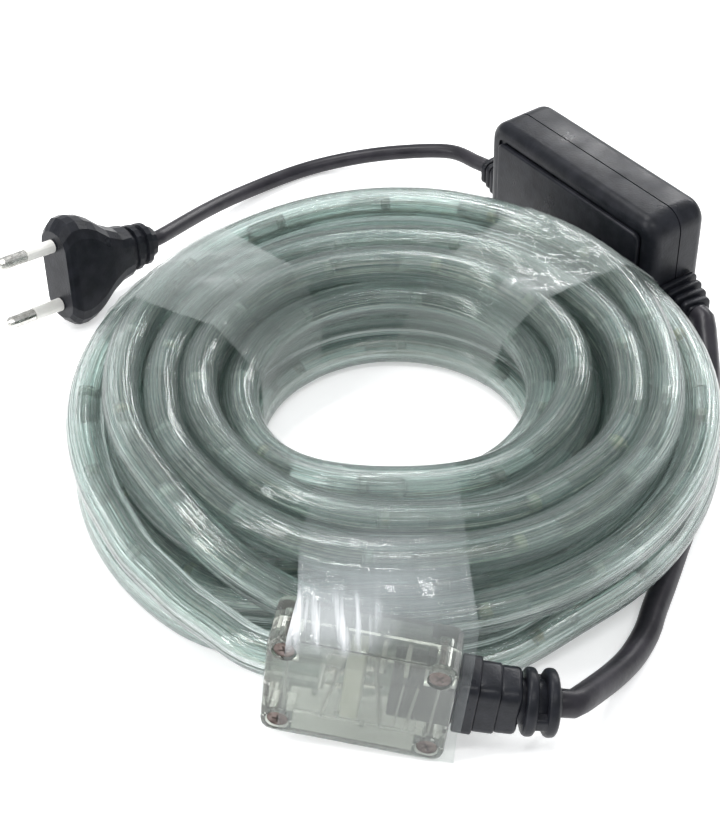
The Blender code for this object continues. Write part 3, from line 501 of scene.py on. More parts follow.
# %% [markdown]
# ## How the rope is wound
# The rope leaves the box, runs round the outside on the third layer, climbs to the loose top layer, winds
# inward there, drops to the third layer at the bore, and goes on back and forth down to the floor. Each turn
# crosses to its neighbour behind the splice box. One function gives radius and height for a total angle, so
# the tube, the wires and the LEDs all follow one path.

# %% The turns, in degrees and millimetres
ROPE_D, FLOOR_LAYER, STEP_UP = 10.0 * MM, 5.75 * MM, 8.6 * MM
LAYER = [FLOOR_LAYER + STEP_UP * layer for layer in range(4)]
FIRST_TURN = ((-121, 90.2), (-133, 86.3), (-150, 82.6), (-165, 81.6), (-190, 81.5), (-453, 81.5))
TOP_ANGLES = (-150, -175, -225, -272, -315, -360, -390, -416, -453)
TOP_TURNS = (
    (71.3, 71.0, 73.0, 75.0, 73.5, 71.0, 72.3, 72.0, 69.7),
    (62.6, 60.4, 58.0, 55.5, 58.0, 62.0, 64.0, 62.0, 57.5),
    (52.5, 51.1, 48.0, 45.8, 46.0, 48.0, 48.3, 48.5, 45.7),
)
LOWER_TURNS = (
    (40.7, 2), (50.9, 2), (61.1, 2), (71.3, 2), (76.4, 1), (66.2, 1), (56.0, 1), (45.8, 1),
    (40.7, 0), (50.9, 0), (61.1, 0), (71.3, 0), (81.5, 0),
)
box_gate = ROPE_FRAME @ Vector((0, 0, BOX_W / 2 + 1 * MM)) - AXIS
gate_angle = math.degrees(math.atan2(box_gate.y, box_gate.x))
path_knots = [(gate_angle, math.hypot(box_gate.x, box_gate.y), box_gate.z)]
for angle, radius in FIRST_TURN:
    height = LAYER[2] if angle < -135 else LAYER[2] + (box_gate.z - LAYER[2]) * 0.3
    path_knots.append((angle, radius * MM, height))
for turn, radii in enumerate(TOP_TURNS):
    for angle, radius in zip(TOP_ANGLES, radii):
        path_knots.append((angle - 360 * (turn + 1), radius * MM, LAYER[3]))
for turn, (radius, layer) in enumerate(LOWER_TURNS):
    so_far = -360 * (turn + 4)
    path_knots.append((so_far - (130 if turn else 158), radius * MM, LAYER[layer]))
    path_knots.append((so_far - 455, radius * MM, LAYER[layer]))
print("knots on the path", len(path_knots))

# %% Radius and height at any total angle
LIFT_FROM, LIFT_TO, LIFT_RAMP = -75.0, 28.0, 16.0
LIFT_HEIGHT, LIFT_OUT = 7.3 * MM, 1.1 * MM
OUTER_FROM, OUTER_SPAN = 74 * MM, 7.5 * MM


def clamped(share):
    """The share, kept between 0 and 1."""
    return min(1.0, max(0.0, share))


def eased(share):
    """The share, with a soft start and a soft end."""
    share = clamped(share)
    return share * share * (3 - 2 * share)


def lift_at(angle):
    """1 where the lowest outer turn rides over the output lead, else 0."""
    angle = (angle + 180.0) % 360.0 - 180.0
    return min(eased((angle - LIFT_FROM) / LIFT_RAMP), eased((LIFT_TO - angle) / LIFT_RAMP))


def wound(sweep):
    """Radius and height of the rope at this total angle, in degrees; it falls as the rope winds on."""
    for (first, radius_1, height_1), (last, radius_2, height_2) in zip(path_knots, path_knots[1:]):
        if sweep >= last:
            break
    share = eased((first - sweep) / (first - last))
    radius = radius_1 + (radius_2 - radius_1) * share
    height = height_1 + (height_2 - height_1) * share
    lift = lift_at(sweep)
    if height < LAYER[0] + 1 * MM:
        outermost = clamped((radius - OUTER_FROM) / OUTER_SPAN)
        height += LIFT_HEIGHT * lift * outermost
        radius += LIFT_OUT * lift * outermost
    elif height < LAYER[1] + 1 * MM:
        # The layer above it gives way inward, the outer turns the most.
        radius -= (3.4 * (radius - 40 * MM) / (36.4 * MM) + 0.4) * MM * lift
    return radius, height


def on_path(sweep):
    """Point of the path at a total angle."""
    radius, height = wound(sweep)
    angle = math.radians(sweep)
    return AXIS + Vector((radius * math.cos(angle), radius * math.sin(angle), height))


print("radius and height at -200 degrees", [round(value * 1000, 1) for value in wound(-200)], "mm")

# %% Points along the rope
END_SWEEP = -460 - 360 * 16
RING_STEP = 3.3 * MM
BAR_W, BAR_X, PIN_LENGTH = 4.2 * MM, -1.5 * MM, 4.2 * MM
sweeps, sweep = [gate_angle], gate_angle
while sweep > END_SWEEP:
    sweep -= math.degrees(RING_STEP / wound(sweep)[0])
    sweeps.append(sweep)
rope_end = ROPE_FRAME @ Vector((0, 0, -BAR_X + BAR_W / 2 + PIN_LENGTH + 4 * GAP))
gate_point = on_path(gate_angle)
inside = [rope_end.lerp(gate_point, step / 4) for step in range(4)]
rope_line = inside + [on_path(sweep) for sweep in sweeps]
for smoothing in range(3):
    rope_line = [rope_line[0]] + [
        a * 0.25 + b * 0.5 + c * 0.25 for a, b, c in zip(rope_line, rope_line[1:], rope_line[2:])
    ] + [rope_line[-1]]

# %% [markdown]
# ## The rope itself
# Rope light is a thick clear PVC hose, extruded round a narrow channel that holds the LEDs and two wires.
# A tube along a known path has one ring of points for each step, and the wall gives the bright edge lines
# that a solid rod would not. The rings are kept upright, so that nothing twists.

# %% Tube along a path
CHANNEL_D = 5.2 * MM
LAY_SCALE = 10


def ring_frames(line):
    """For every point, two directions across the path: outward from the coil and up."""
    found = []
    for index, point in enumerate(line):
        way = (line[min(index + 1, len(line) - 1)] - line[max(index - 1, 0)]).normalized()
        side = way.cross(Vector((0, 0, 1))).normalized()
        found.append((side, side.cross(way).normalized()))
    return found


def tube(name, line, frames, outer, inner, material, sides, inner_sides):
    """Closed tube with a bore, or a rod where inner is 0. Its lay runs round it and along it."""
    shape = bmesh.new()
    lay = shape.verts.layers.float_vector.new("lay")

    def rings(diameter, count):
        loops, run = [], 0.0
        for index, (point, (side, high)) in enumerate(zip(line, frames)):
            run += (point - line[max(index - 1, 0)]).length
            loop = []
            for i in range(count):
                round_by = math.tau * i / count
                across = side * math.cos(round_by) + high * math.sin(round_by)
                corner = shape.verts.new(point + across * diameter / 2)
                corner[lay] = Vector((math.cos(round_by), math.sin(round_by), run * LAY_SCALE))
                loop.append(corner)
            loops.append(loop)
        return loops

    def skin(loops):
        for low, high in zip(loops, loops[1:]):
            for i in range(len(low)):
                j = (i + 1) % len(low)
                shape.faces.new((low[i], low[j], high[j], high[i]))

    outside = rings(outer, sides)
    skin(outside)
    if inner:
        channel = rings(inner, inner_sides)
        skin([list(reversed(loop)) for loop in channel])
        for end in (0, -1):
            edges = []
            for loop in (outside[end], channel[end]):
                for i in range(len(loop)):
                    edges.append(shape.edges.get((loop[i], loop[(i + 1) % len(loop)])))
            bmesh.ops.bridge_loops(shape, edges=edges)
    else:
        shape.faces.new(list(reversed(outside[0])))
        shape.faces.new(outside[-1])
    mesh = bpy.data.meshes.new(name)
    bmesh.ops.recalc_face_normals(shape, faces=shape.faces)
    shape.to_mesh(mesh)
    shape.free()
    mesh.materials.append(material)
    mesh.shade_smooth()
    mesh.set_sharp_from_angle(angle=math.radians(50))
    made = bpy.data.objects.new(name, mesh)
    scene.collection.objects.link(made)
    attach(made, "root")
    print(name, len(mesh.polygons), "faces")
    return made


rope_frames = ring_frames(rope_line)
rope = tube("clear_rope_tube", rope_line, rope_frames, ROPE_D, CHANNEL_D, rope_clear, 24, 12)
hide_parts("rope_coil", "rope_lead")

# %% [markdown]
# ## Wires in the channel
# Two bare stranded wires run the whole length beside the LEDs. They show through the rope as fine lines, so
# thin rods with six sides are enough.

# %% Wires
WIRE_APART, WIRE_LOW, WIRE_D = 1.75 * MM, -0.9 * MM, 0.75 * MM
for number, hand in ((1, -1), (2, 1)):
    line = [
        point + side * (hand * WIRE_APART) + high * WIRE_LOW
        for point, (side, high) in zip(rope_line, rope_frames)
    ]
    tube(f"rope_wire_{number}", line, rope_frames, WIRE_D, 0, copper, 6, 0)

# %% [markdown]
# ## LEDs
# Each LED is a clear epoxy cylinder with a domed end that lies along the channel, and its yellow phosphor
# sits at the other end. The ones that show in the photograph keep their places, and the rest stand an even
# thirty-three millimetres apart. One small body is spun once and copied into a single mesh.

# %% LED places
LED_PITCH, BARE_END = 33.0 * MM, 20 * MM
SEEN = (-133, -178, -390, -496, -755, -873, -1071, -1106, -1133, -1166, -1213, -1436, -1494)
walked = [0.0]
for a, b in zip(rope_line, rope_line[1:]):
    walked.append(walked[-1] + (b - a).length)
before_gate = len(inside)


def length_at(sweep):
    """Length along the rope at a total angle."""
    for index, value in enumerate(sweeps):
        if value <= sweep:
            return walked[index + before_gate]
    return walked[-1]


marks = [length_at(sweep) for sweep in SEEN]
led_places = [marks[0]]
for start, end in list(zip(marks, marks[1:])) + [(marks[-1], walked[-1] - BARE_END)]:
    count = max(1, round((end - start) / LED_PITCH))
    led_places += [start + (end - start) * (step + 1) / count for step in range(count)]
print("LEDs", len(led_places))

# %% Placing, spinning and copying small bodies


def place_on_rope(length):
    """Frame on the rope: across, up, and along it."""
    index = next(i for i, value in enumerate(walked) if value >= length)
    before, after = walked[max(index - 1, 0)], walked[index]
    share = (length - before) / (after - before) if after > before else 0.0
    point = rope_line[max(index - 1, 0)].lerp(rope_line[index], share)
    side, high = rope_frames[index]
    return axes(point, side, high, side.cross(high))


def spun(profile, steps):
    """A bmesh of a profile of (radius, depth) pairs, spun round its own axis."""
    shape = bmesh.new()
    points = [shape.verts.new((radius, 0, depth)) for radius, depth in profile]
    edges = [shape.edges.new(pair) for pair in zip(points, points[1:])]
    bmesh.ops.spin(
        shape, geom=points + edges, cent=(0, 0, 0), axis=(0, 0, 1), angle=math.tau, steps=steps,
        use_merge=True,
    )
    bmesh.ops.remove_doubles(shape, verts=shape.verts, dist=WELD / 2)
    bmesh.ops.recalc_face_normals(shape, faces=shape.faces)
    return shape


def copies(name, single, places, material, sharp=30.0):
    """One mesh with a copy of the single body at every place."""
    pattern = bpy.data.meshes.new(name + "_single")
    single.to_mesh(pattern)
    single.free()
    shape = bmesh.new()
    for place in places:
        first = len(shape.verts)
        shape.from_mesh(pattern)
        shape.verts.ensure_lookup_table()
        bmesh.ops.transform(shape, matrix=place, verts=shape.verts[first:])
    bpy.data.meshes.remove(pattern)
    return piece_from(name, shape, material, sharp)


def in_mm(*pairs):
    """A profile of (radius, depth) pairs given in millimetres."""
    return [(radius * MM, depth * MM) for radius, depth in pairs]


print("helpers for small bodies ready")

# %% LED bodies
LED_LENGTH, LED_D = 12.5 * MM, 4.6 * MM
half = LED_LENGTH / 2
led_profile = (
    (0.0, -half), (0.42 * LED_D, -half), (0.5 * LED_D, -half + 0.4 * MM), (0.5 * LED_D, half - 1.6 * MM),
    (0.36 * LED_D, half - 0.5 * MM), (0.0, half),
)
led_frames = [place_on_rope(length) for length in led_places]
leds = copies("led_bodies", spun(led_profile, 10), led_frames, led_clear)
cup_profile = (
    (0.0, -half + 0.6 * MM), (0.26 * LED_D, -half + 0.8 * MM), (0.3 * LED_D, -half + 2.4 * MM),
    (0.0, -half + 3.0 * MM),
)
cups = copies("led_phosphor_cups", spun(cup_profile, 8), led_frames, phosphor)

# %% [markdown]
# ## Tapes
# Clear packing tape is pulled tight round the coil, so it bridges from turn to turn: in every cross-section
# it is the hull of the rope's circles. It gathers towards the bore, and the pull leaves fine wrinkles along
# its length, which catch the light as white streaks. A thin sheet with its own wrinkles and a wall from
# Solidify shows this better than a flat band.

# %% Line of a tape round the turns
from mathutils.geometry import convex_hull_2d

TAPE_STEPS, TAPE_LIFT, DOTS = 132, 0.3 * MM, 36
hulls = {}


def turns_at(angle):
    """Radius and height of every turn at this angle round the coil."""
    sweep, found = angle, []
    while sweep > gate_angle - 15:
        sweep -= 360
    while sweep > END_SWEEP:
        found.append(wound(sweep))
        sweep -= 360
    return found


def wrap_at(angle):
    """Evenly spaced line round all turns, a little outside them, from the foot of the bore upwards."""
    key = round(angle)
    if key not in hulls:
        reach = ROPE_D / 2 + TAPE_LIFT
        dots = [
            Vector((r + reach * math.cos(math.tau * i / DOTS), z + reach * math.sin(math.tau * i / DOTS)))
            for r, z in turns_at(key)
            for i in range(DOTS)
        ]
        loop = [dots[i] for i in convex_hull_2d(dots)]
        start = min(range(len(loop)), key=lambda i: loop[i].x + 3 * loop[i].y)
        loop = loop[start:] + loop[:start] + [loop[start]]
        if loop[1].y < loop[-2].y:
            loop.reverse()
        hulls[key] = evenly(loop, TAPE_STEPS)
    return hulls[key]


print("points round the turns", len(wrap_at(149)))

# %% Width and wrinkles of a tape
BORE_R, COIL_TOP, TAPE_W, TAPE_BORE_W = 35.7 * MM, 36.55 * MM, 42.0 * MM, 31.0 * MM


def band_angle(radius, height, share, angles):
    """Angle of a column of tape here; the tape gathers where it enters the bore."""
    low_angle, top_angle, rim_angle = angles
    out = clamped((radius - BORE_R) / (RIM_R - BORE_R))
    raised = clamped(height / COIL_TOP)
    in_bore = low_angle + (top_angle - low_angle) * raised
    centre = in_bore + (rim_angle - in_bore) * out
    return centre + share * math.degrees((TAPE_BORE_W + (TAPE_W - TAPE_BORE_W) * out) / 2 / radius)


def wrinkle(share, run, seed):
    """Height of the wrinkles that run along a tape."""
    broad = noise.noise(Vector((share * 3.0, run * 3.0, seed)))
    fine = noise.noise(Vector((share * 11.0, run * 5.0, seed + 7)))
    return (0.35 * broad + 0.22 * fine) * MM


print("tape", round(TAPE_W * 1000), "mm wide, and", round(TAPE_BORE_W * 1000), "mm in the bore")

# %% Film with a thin wall
TAPE_COLUMNS, FILM_WALL, TAPE_TOP = 28, 0.06 * MM, 37.6 * MM
FOOT, SIDE_TOP, FLAT_FROM, MIDDLE_R = 3 * MM, 20 * MM, 30 * MM, 62 * MM


def film(name, columns, closed, look):
    """Sheet through columns of points, with a thin wall."""
    shape = bmesh.new()
    rows = [[shape.verts.new(point) for point in column] for column in columns]
    count = len(rows[0])
    for left, right in zip(rows, rows[1:]):
        for i in range(count if closed else count - 1):
            j = (i + 1) % count
            shape.faces.new((left[i], right[i], right[j], left[j]))
    made = piece_from(name, shape, look, 80.0)
    wall = made.modifiers.new("wall", "SOLIDIFY")
    wall.thickness = FILM_WALL
    wall.offset = 0.0
    return made


def coil_tape(name, angles, seed, look):
    """Closed tape round the winding. Its wrinkles stand out from the rope, into the bore and up on top."""
    columns = []
    for column in range(TAPE_COLUMNS + 1):
        share, points = -1 + 2 * column / TAPE_COLUMNS, []
        for step in range(TAPE_STEPS):
            radius, height = wrap_at(angles[2])[step]
            radius, height = wrap_at(band_angle(radius, height, share, angles))[step]
            angle = math.radians(band_angle(radius, height, share, angles))
            crease = wrinkle(share, step * 0.05, seed) if height > FOOT else 0.0
            out = 1.0 if radius > MIDDLE_R else -0.4
            radius += abs(crease) * out * (0.3 if height > FLAT_FROM else 1.0)
            height += abs(crease) * (1.0 if height > SIDE_TOP else 0.0)
            across = radius * math.cos(angle), radius * math.sin(angle)
            points.append(AXIS + Vector((*across, min(height, TAPE_TOP))))
        columns.append(points)
    return film(name, columns, True, look)


print("film helpers ready")

# %% [markdown]
# ## The tape's finish
# Real tape is nearly invisible where it lies flat. It shows as a soft grey veil at a slant, and as white
# creases where a lamp shines in it. So the film mixes a transparent shader with a glossy one. More of the
# gloss shows at a slant and in one clouded spot. The lamp's glare in the creases is painted: round one fixed
# place on each tape, the wrinkle streaks are painted white and glossy as a painted highlight.

# %% Finish of the tapes


def spot_on(tree, centre, reach):
    """1 at a point of the piece, falling to 0 at these distances along x, y and z."""
    place = tree.nodes.new("ShaderNodeTexCoord")
    mapping = tree.nodes.new("ShaderNodeMapping")
    mapping.inputs["Scale"].default_value = [1 / (value * MM) for value in reach]
    mapping.inputs["Location"].default_value = [-c / (value * MM) for c, value in zip(centre, reach)]
    ball = tree.nodes.new("ShaderNodeTexGradient")
    ball.gradient_type = "SPHERICAL"
    tree.links.new(place.outputs["Object"], mapping.inputs["Vector"])
    tree.links.new(mapping.outputs["Vector"], ball.inputs["Vector"])
    return ball.outputs["Fac"]


def worked(tree, operation, first, second, third=0.0):
    """Result of one maths step; a number or a socket may be given."""
    step = tree.nodes.new("ShaderNodeMath")
    step.operation = operation
    step.use_clamp = True
    for socket, value in zip(step.inputs, (first, second, third)):
        if isinstance(value, float):
            socket.default_value = value
        else:
            tree.links.new(value, socket)
    return step.outputs["Value"]


def tape_look(name, body, share, least, painted_glare_at, cloud_at):
    """Clear film with a sheen that grows at a slant, a painted white highlight along its wrinkles round one
    fixed point, and one clouded patch.
    """
    centre, reach, streak, gain = painted_glare_at
    look, tree, shader = finish(name, body, 0.1)
    shader.inputs["Specular IOR Level"].default_value = 0.9
    value_between(tree, shader.inputs["Roughness"], grain(tree, 150.0), 0.03, 0.16)
    relief_from(tree, shader, grain(tree, 130.0, 4.0), 0.0008)
    clear = tree.nodes.new("ShaderNodeBsdfTransparent")
    clear.inputs["Color"].default_value = (0.985, 0.99, 0.985, 1.0)
    slant = tree.nodes.new("ShaderNodeLayerWeight")
    slant.inputs["Blend"].default_value = 0.3
    haze = worked(tree, "MULTIPLY_ADD", slant.outputs["Facing"], share, least)
    # Painted highlight: round one fixed point of the piece, the wrinkle streaks raise the gloss and turn the
    # base colour near white. This stands for the lamp's glare in the creases and does not follow the lamps.
    spot = spot_on(tree, centre, reach)
    painted_crease_glints = worked(tree, "MULTIPLY_ADD", grain(tree, 1.0, 3.0, streak), 5.0, -2.3)
    painted_glare = worked(tree, "MULTIPLY", spot, painted_crease_glints)
    painted_glare = worked(tree, "MULTIPLY_ADD", painted_glare, gain, worked(tree, "MULTIPLY", spot, 0.35 * gain))
    total = worked(tree, "ADD", haze, painted_glare)
    centre, reach, gain = cloud_at
    clouding = worked(tree, "MULTIPLY", spot_on(tree, centre, reach), gain)
    uneven = worked(tree, "ADD", grain(tree, 1.0, 3.0, streak), 0.35)
    total = worked(tree, "MULTIPLY_ADD", clouding, uneven, total)
    # The painted highlight's near-white colour is mixed into the base colour where the painted glare lies.
    tint = tree.nodes.new("ShaderNodeMixRGB")
    tint.inputs["Color1"].default_value = (*body, 1.0)
    tint.inputs["Color2"].default_value = (0.98, 0.98, 1.0, 1.0)
    tree.links.new(painted_glare, tint.inputs["Fac"])
    tree.links.new(tint.outputs["Color"], shader.inputs["Base Color"])
    blend = tree.nodes.new("ShaderNodeMixShader")
    tree.links.new(total, blend.inputs["Fac"])
    tree.links.new(clear.outputs["BSDF"], blend.inputs[1])
    tree.links.new(shader.outputs["BSDF"], blend.inputs[2])
    tree.links.new(blend.outputs["Shader"], tree.nodes["Material Output"].inputs["Surface"])
    return look


print("tape finish ready")

# %% The two tapes round the coil
# In each tape's finish the third entry is its painted highlight (centre, reach, stretch of the wrinkle
# streaks, strength), and the fourth is its clouded patch.
COIL_FILM = (0.42, 0.46, 0.45)
left_spot, right_spot = AXIS + Vector((-52, 42, 36)) * MM, AXIS + Vector((43, 27, 36)) * MM
left_film = tape_look(
    "tape_film_left", COIL_FILM, 0.35, 0.03, (left_spot, (26, 18, 12), (90, 160, 60), 0.2),
    (left_spot, (24, 24, 14), 0.05),
)
right_film = tape_look(
    "tape_film_right", COIL_FILM, 0.35, 0.03, (right_spot, (14, 6.5, 9), (60, 300, 60), 0.42),
    (right_spot, (26, 22, 14), 0.05),
)
left_tape = coil_tape("tape_left_film", (149.0, 145.0, 143.0), 1, left_film)
right_tape = coil_tape("tape_right_film", (68.0, 46.0, 40.5), 5, right_film)
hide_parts("tape_left")
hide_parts("tape_right")

# %% [markdown]
# ## The tape over the splice box
# The third tape holds the box: up the bore, over the top turns, down over the box's face and back along the
# floor. Its corners are rounded by listed points, and it wrinkles all along except next to the floor.

# %% Finish of the front tape
# The front tape's painted highlight sits over the box's top edge. Its clouded patch sits over the stretch
# that bridges to the coil.
front_painted_glare_centre = BOX @ Vector((-9 * MM, 18.0 * MM, -7 * MM))
bridge_spot = BOX @ Vector((0, 17.0 * MM, -20 * MM))
front_film = tape_look(
    "tape_film_front", (0.60, 0.64, 0.66), 0.12, 0.025, (front_painted_glare_centre, (20, 13, 6.5), (420, 26, 26), 1.0),
    (bridge_spot, (34, 18, 9), 0.27),
)
print("front film ready")

# %% Line of the front tape
FRONT_ANGLES = (-92.0, -93.0, -94.0)
FRONT_LEFT, FRONT_W, FRONT_STEPS = -17 * MM, 41 * MM, 110


def front_line(share):
    """Points of one column, from the floor up the bore, over the top and round the box."""
    across = FRONT_LEFT + FRONT_W * (share + 1) / 2
    rise, low, past = [], [], False
    for radius, height in wrap_at(FRONT_ANGLES[1]):
        if radius > 66 * MM and height < 34 * MM:
            past = True
            continue
        angle = math.radians(band_angle(radius, height, share, FRONT_ANGLES))
        point = AXIS + Vector((radius * math.cos(angle), radius * math.sin(angle), height))
        (low if past else rise).append(point)
    half, lift = BOX_H / 2, 0.35 * MM
    face = [(half + lift, -BOX_DEPTH + 1 * MM), (half + lift, -7 * MM), (half + lift, -1.2 * MM)]
    face += [(half, -0.1 * MM), (half - 1.0 * MM, lift)]
    face += [(half - BOX_H * t / 8, lift) for t in range(1, 8)]
    face += [(-half + 1.0 * MM, lift), (-half, -0.1 * MM), (-half - lift, -1.5 * MM)]
    face += [(-half - lift, -BOX_DEPTH)]
    corner = [BOX @ Vector((across, y, depth)) for y, depth in face]
    for point in corner:
        point.z = min(max(point.z, 0.25 * MM), 37.7 * MM)
    return rise, low, corner


print("points in the middle column", sum(len(run) for run in front_line(0.0)))

# %% Front tape
columns = []
for column in range(TAPE_COLUMNS + 1):
    share = -1 + 2 * column / TAPE_COLUMNS
    rise, low, corner = front_line(share)
    route = rise + corner + low
    total = [0.0]
    for a, b in zip(route, route[1:]):
        total.append(total[-1] + (b - a).length)
    even, index = [], 0
    for step in range(FRONT_STEPS):
        run = total[-1] * step / (FRONT_STEPS - 1)
        while index < len(total) - 2 and total[index + 1] < run:
            index += 1
        span = total[index + 1] - total[index]
        point = route[index].lerp(route[index + 1], (run - total[index]) / span if span > 0 else 0.0)
        if point.z > FOOT:
            crease = abs(wrinkle(share, run * 14, 11))
            point = point + box_out * crease * (1.0 if point.z < 34 * MM else 0.3)
            point.z = min(point.z + crease * 0.5, 37.8 * MM)
        even.append(point)
    columns.append(even)
front_tape = film("tape_front_film", columns, False, front_film)
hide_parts("tape_front")

# %% [markdown]
# ## Inside the splice box
# The box is two clear half shells on four screws, and their CAD shape is right: it stays, with a cloudy clear
# finish. What shows through it is made here. A clamp bar of ivory plastic stands in the middle, tinned pins
# reach out of it on both sides, and thin ribs are moulded on the inside of the front shell. Each rib is a
# block with softened edges, set between two points of the face.

# %% Blocks and ribs


def rounded(shape, edges, radius, steps):
    """Rounds these edges."""
    bmesh.ops.bevel(
        shape, geom=edges, offset=radius, segments=steps, profile=0.5, affect="EDGES", material=-1
    )


def block(size, radius=0.0, steps=3, upright=0.0):
    """A bmesh of a box about its middle. Its four edges along z and then the others can be rounded."""
    shape = bmesh.new()
    bmesh.ops.create_cube(shape, size=1.0)
    bmesh.ops.scale(shape, vec=size, verts=shape.verts)
    if upright:
        tall = [edge for edge in shape.edges if abs(edge.verts[0].co.z - edge.verts[1].co.z) > size[2] / 2]
        rounded(shape, tall, upright, steps + 2)
    if radius:
        edges = list(shape.edges)
        if upright:
            ends = {vert for vert in shape.verts if abs(abs(vert.co.z) - size[2] / 2) < 1e-7}
            edges = [
                edge for edge in edges
                if ends.issuperset(edge.verts) and abs(edge.verts[0].co.z - edge.verts[1].co.z) < 1e-7
            ]
        rounded(shape, edges, radius, steps)
    return shape


def merged(name, parts, material, sharp=35.0):
    """One piece from several bmeshes, each with its own frame."""
    shape = bmesh.new()
    for part, place in parts:
        bmesh.ops.transform(part, matrix=place, verts=part.verts)
        carried = bpy.data.meshes.new(name + "_part")
        part.to_mesh(carried)
        part.free()
        shape.from_mesh(carried)
        bpy.data.meshes.remove(carried)
    return piece_from(name, shape, material, sharp)


def rib(start, end, thick, near, far):
    """A rib on the inside of the face, between two points in millimetres, with its frame in the box."""
    a, b = Vector(start) * MM, Vector(end) * MM
    way = b - a
    turn = Matrix.Rotation(math.atan2(way.y, way.x), 4, "Z")
    middle = Matrix.Translation(((a.x + b.x) / 2, (a.y + b.y) / 2, (near + far) / 2 * MM))
    return block((way.length, thick * MM, abs(near - far) * MM), 0.15 * MM, 2), BOX @ middle @ turn


print("block helpers ready")

# %% Ribs and pegs
RIBS = (
    ((-4.5, 8.2), (-7.6, -9.1), 0.7, -1.6, -5.4), ((-7.4, 8.2), (-8.2, 0.9), 0.6, -1.6, -4.6),
    ((-7.4, 9.0), (-4.5, 9.0), 0.6, -1.6, -4.6), ((3.0, 10.6), (5.9, -8.6), 0.7, -1.6, -5.2),
    ((13.0, 6.6), (11.6, -8.5), 0.7, -1.55, -2.15), ((9.8, 6.6), (9.0, -7.5), 0.5, -1.55, -2.15),
    ((4.4, 13.9), (4.4, 9.0), 1.1, -2.2, -6.6), ((9.8, 13.9), (9.8, 8.9), 1.1, -2.2, -6.6),
    ((-16.4, 8.6), (-16.4, -8.6), 0.6, -1.6, -3.0), ((17.6, 8.2), (16.9, -8.2), 0.6, -1.55, -2.15),
)
ribs = merged("box_ribs", [rib(*numbers) for numbers in RIBS], rib_clear)
PEGS = ((-4.2, -8.0), (-7.6, 10.9), (-9.6, -1.6), (1.9, 7.6), (1.9, -9.8))
peg_profile = in_mm((0, -0.9), (0.62, -0.8), (0.7, 0.5), (0.4, 0.9), (0, 1.0))
peg_places = [BOX @ Matrix.Translation((x * MM, y * MM, -2.6 * MM)) for x, y in PEGS]
pegs = copies("box_pegs", spun(peg_profile, 14), peg_places, led_clear)

# %% Clamp bar and contacts
BAR_H, BAR_CLEARANCE, CONTACT_PITCH = 17.0 * MM, 0.75 * MM, 4.6
BAR_D = BOX_DEPTH - 2 * (BOX_WALL + BAR_CLEARANCE)
bar_frame = BOX @ Matrix.Translation((BAR_X, 0, MID))
bar_parts = [(block((BAR_W, BAR_H, BAR_D), 0.5 * MM, 3, 0.7 * MM), bar_frame)]
clamp = merged("clamp_bar_moulded", bar_parts, ivory)
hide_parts("clamp_bar")
pin_profile = in_mm(
    (0, 0), (0.7, 0), (0.7, 1.2), (0.5, 1.35), (0.5, 1.6), (0.7, 1.75), (0.7, 3.4), (0.5, 3.9),
    (0.2, 4.2), (0, 4.2),
)
rope_ways = ROPE_FRAME.to_3x3().transposed()
lead_ways = LEAD_FRAME.to_3x3().transposed()
for number, shift in enumerate((-1, 0, 1)):
    place = BOX @ Vector((BAR_X - BAR_W / 2 - GAP, (1.5 + CONTACT_PITCH * shift) * MM, MID))
    pin = copies(f"splice_pin_{number + 1}", spun(pin_profile, 16), [axes(place, *rope_ways)], tin)
    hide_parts(f"contact_pin_{number + 1}")
short_pins = [axes(BOX @ Vector((BAR_X + BAR_W / 2 + GAP, y * MM, MID)), *lead_ways) for y in (4.4, -1.2)]
nose_pins = copies("nose_pins", spun(pin_profile, 16), short_pins, tin)

# %% [markdown]
# ## Screws
# Four countersunk self-tapping screws hold the box. A turned profile gives the head's slightly domed face and
# its cone. The cross recess is not cut; a dark cross set into that face stands for it, its colour a painted
# shade of the recess.

# %% Screws
SCREW_INSET = 4 * MM
screw_profile = in_mm(
    (0, -10.5), (0.6, -10.5), (1.2, -9.3), (1.2, -1.9), (2.0, -1.55), (2.45, -0.85),
    (2.48, -0.68), (2.3, -0.56), (1.4, -0.5), (0, -0.48),
)
# Painted shade: the recess is not cut, so this near-black brown stands for the shadow inside it.
painted_recess_shade, tree, shader = finish("screw_recess_painted_shade", (0.05, 0.035, 0.03), 0.6, 0.6)
colour_between(tree, shader, grain(tree, 900.0), (0.03, 0.022, 0.02), (0.09, 0.065, 0.055))
crosses = []
for number, (side_x, side_y) in enumerate(((-1, 1), (1, 1), (-1, -1), (1, -1))):
    inset = side_x * (BOX_W / 2 - SCREW_INSET), side_y * (BOX_H / 2 - SCREW_INSET)
    place = BOX @ Matrix.Translation((*inset, 0))
    screw = copies(f"box_screw_{number + 1}", spun(screw_profile, 24), [place], screw_steel)
    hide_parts(f"splice_screw_{number + 1}")
    for turn in (20 + 33 * number, 110 + 33 * number):
        arm = place @ Matrix.Translation((0, 0, -0.6 * MM)) @ Matrix.Rotation(math.radians(turn), 4, "Z")
        crosses.append((block((2.5 * MM, 0.5 * MM, 0.3 * MM)), arm))
recess_shade_crosses = merged("screw_recess_shade_crosses", crosses, painted_recess_shade)

# %% [markdown]
# ## Moulded connector
# The lead ends in a black moulding: a nose inside the box, a stepped collar, and two thick flanges to grip,
# with a neck that already bends with the lead. A web on each side joins the flanges. Blocks with rounded
# edges and turned flanges, each standing square to the bent neck, make it up.

# %% Places along the neck


def on_neck(depth):
    """Frame on the connector's neck at a depth from the box's middle."""
    return bent(LEAD_FRAME, COLLAR, NECK_BEND, NECK_TIP - COLLAR, depth)


print("neck ends at", [round(value * 1000, 1) for value in on_neck(NECK_TIP).translation])

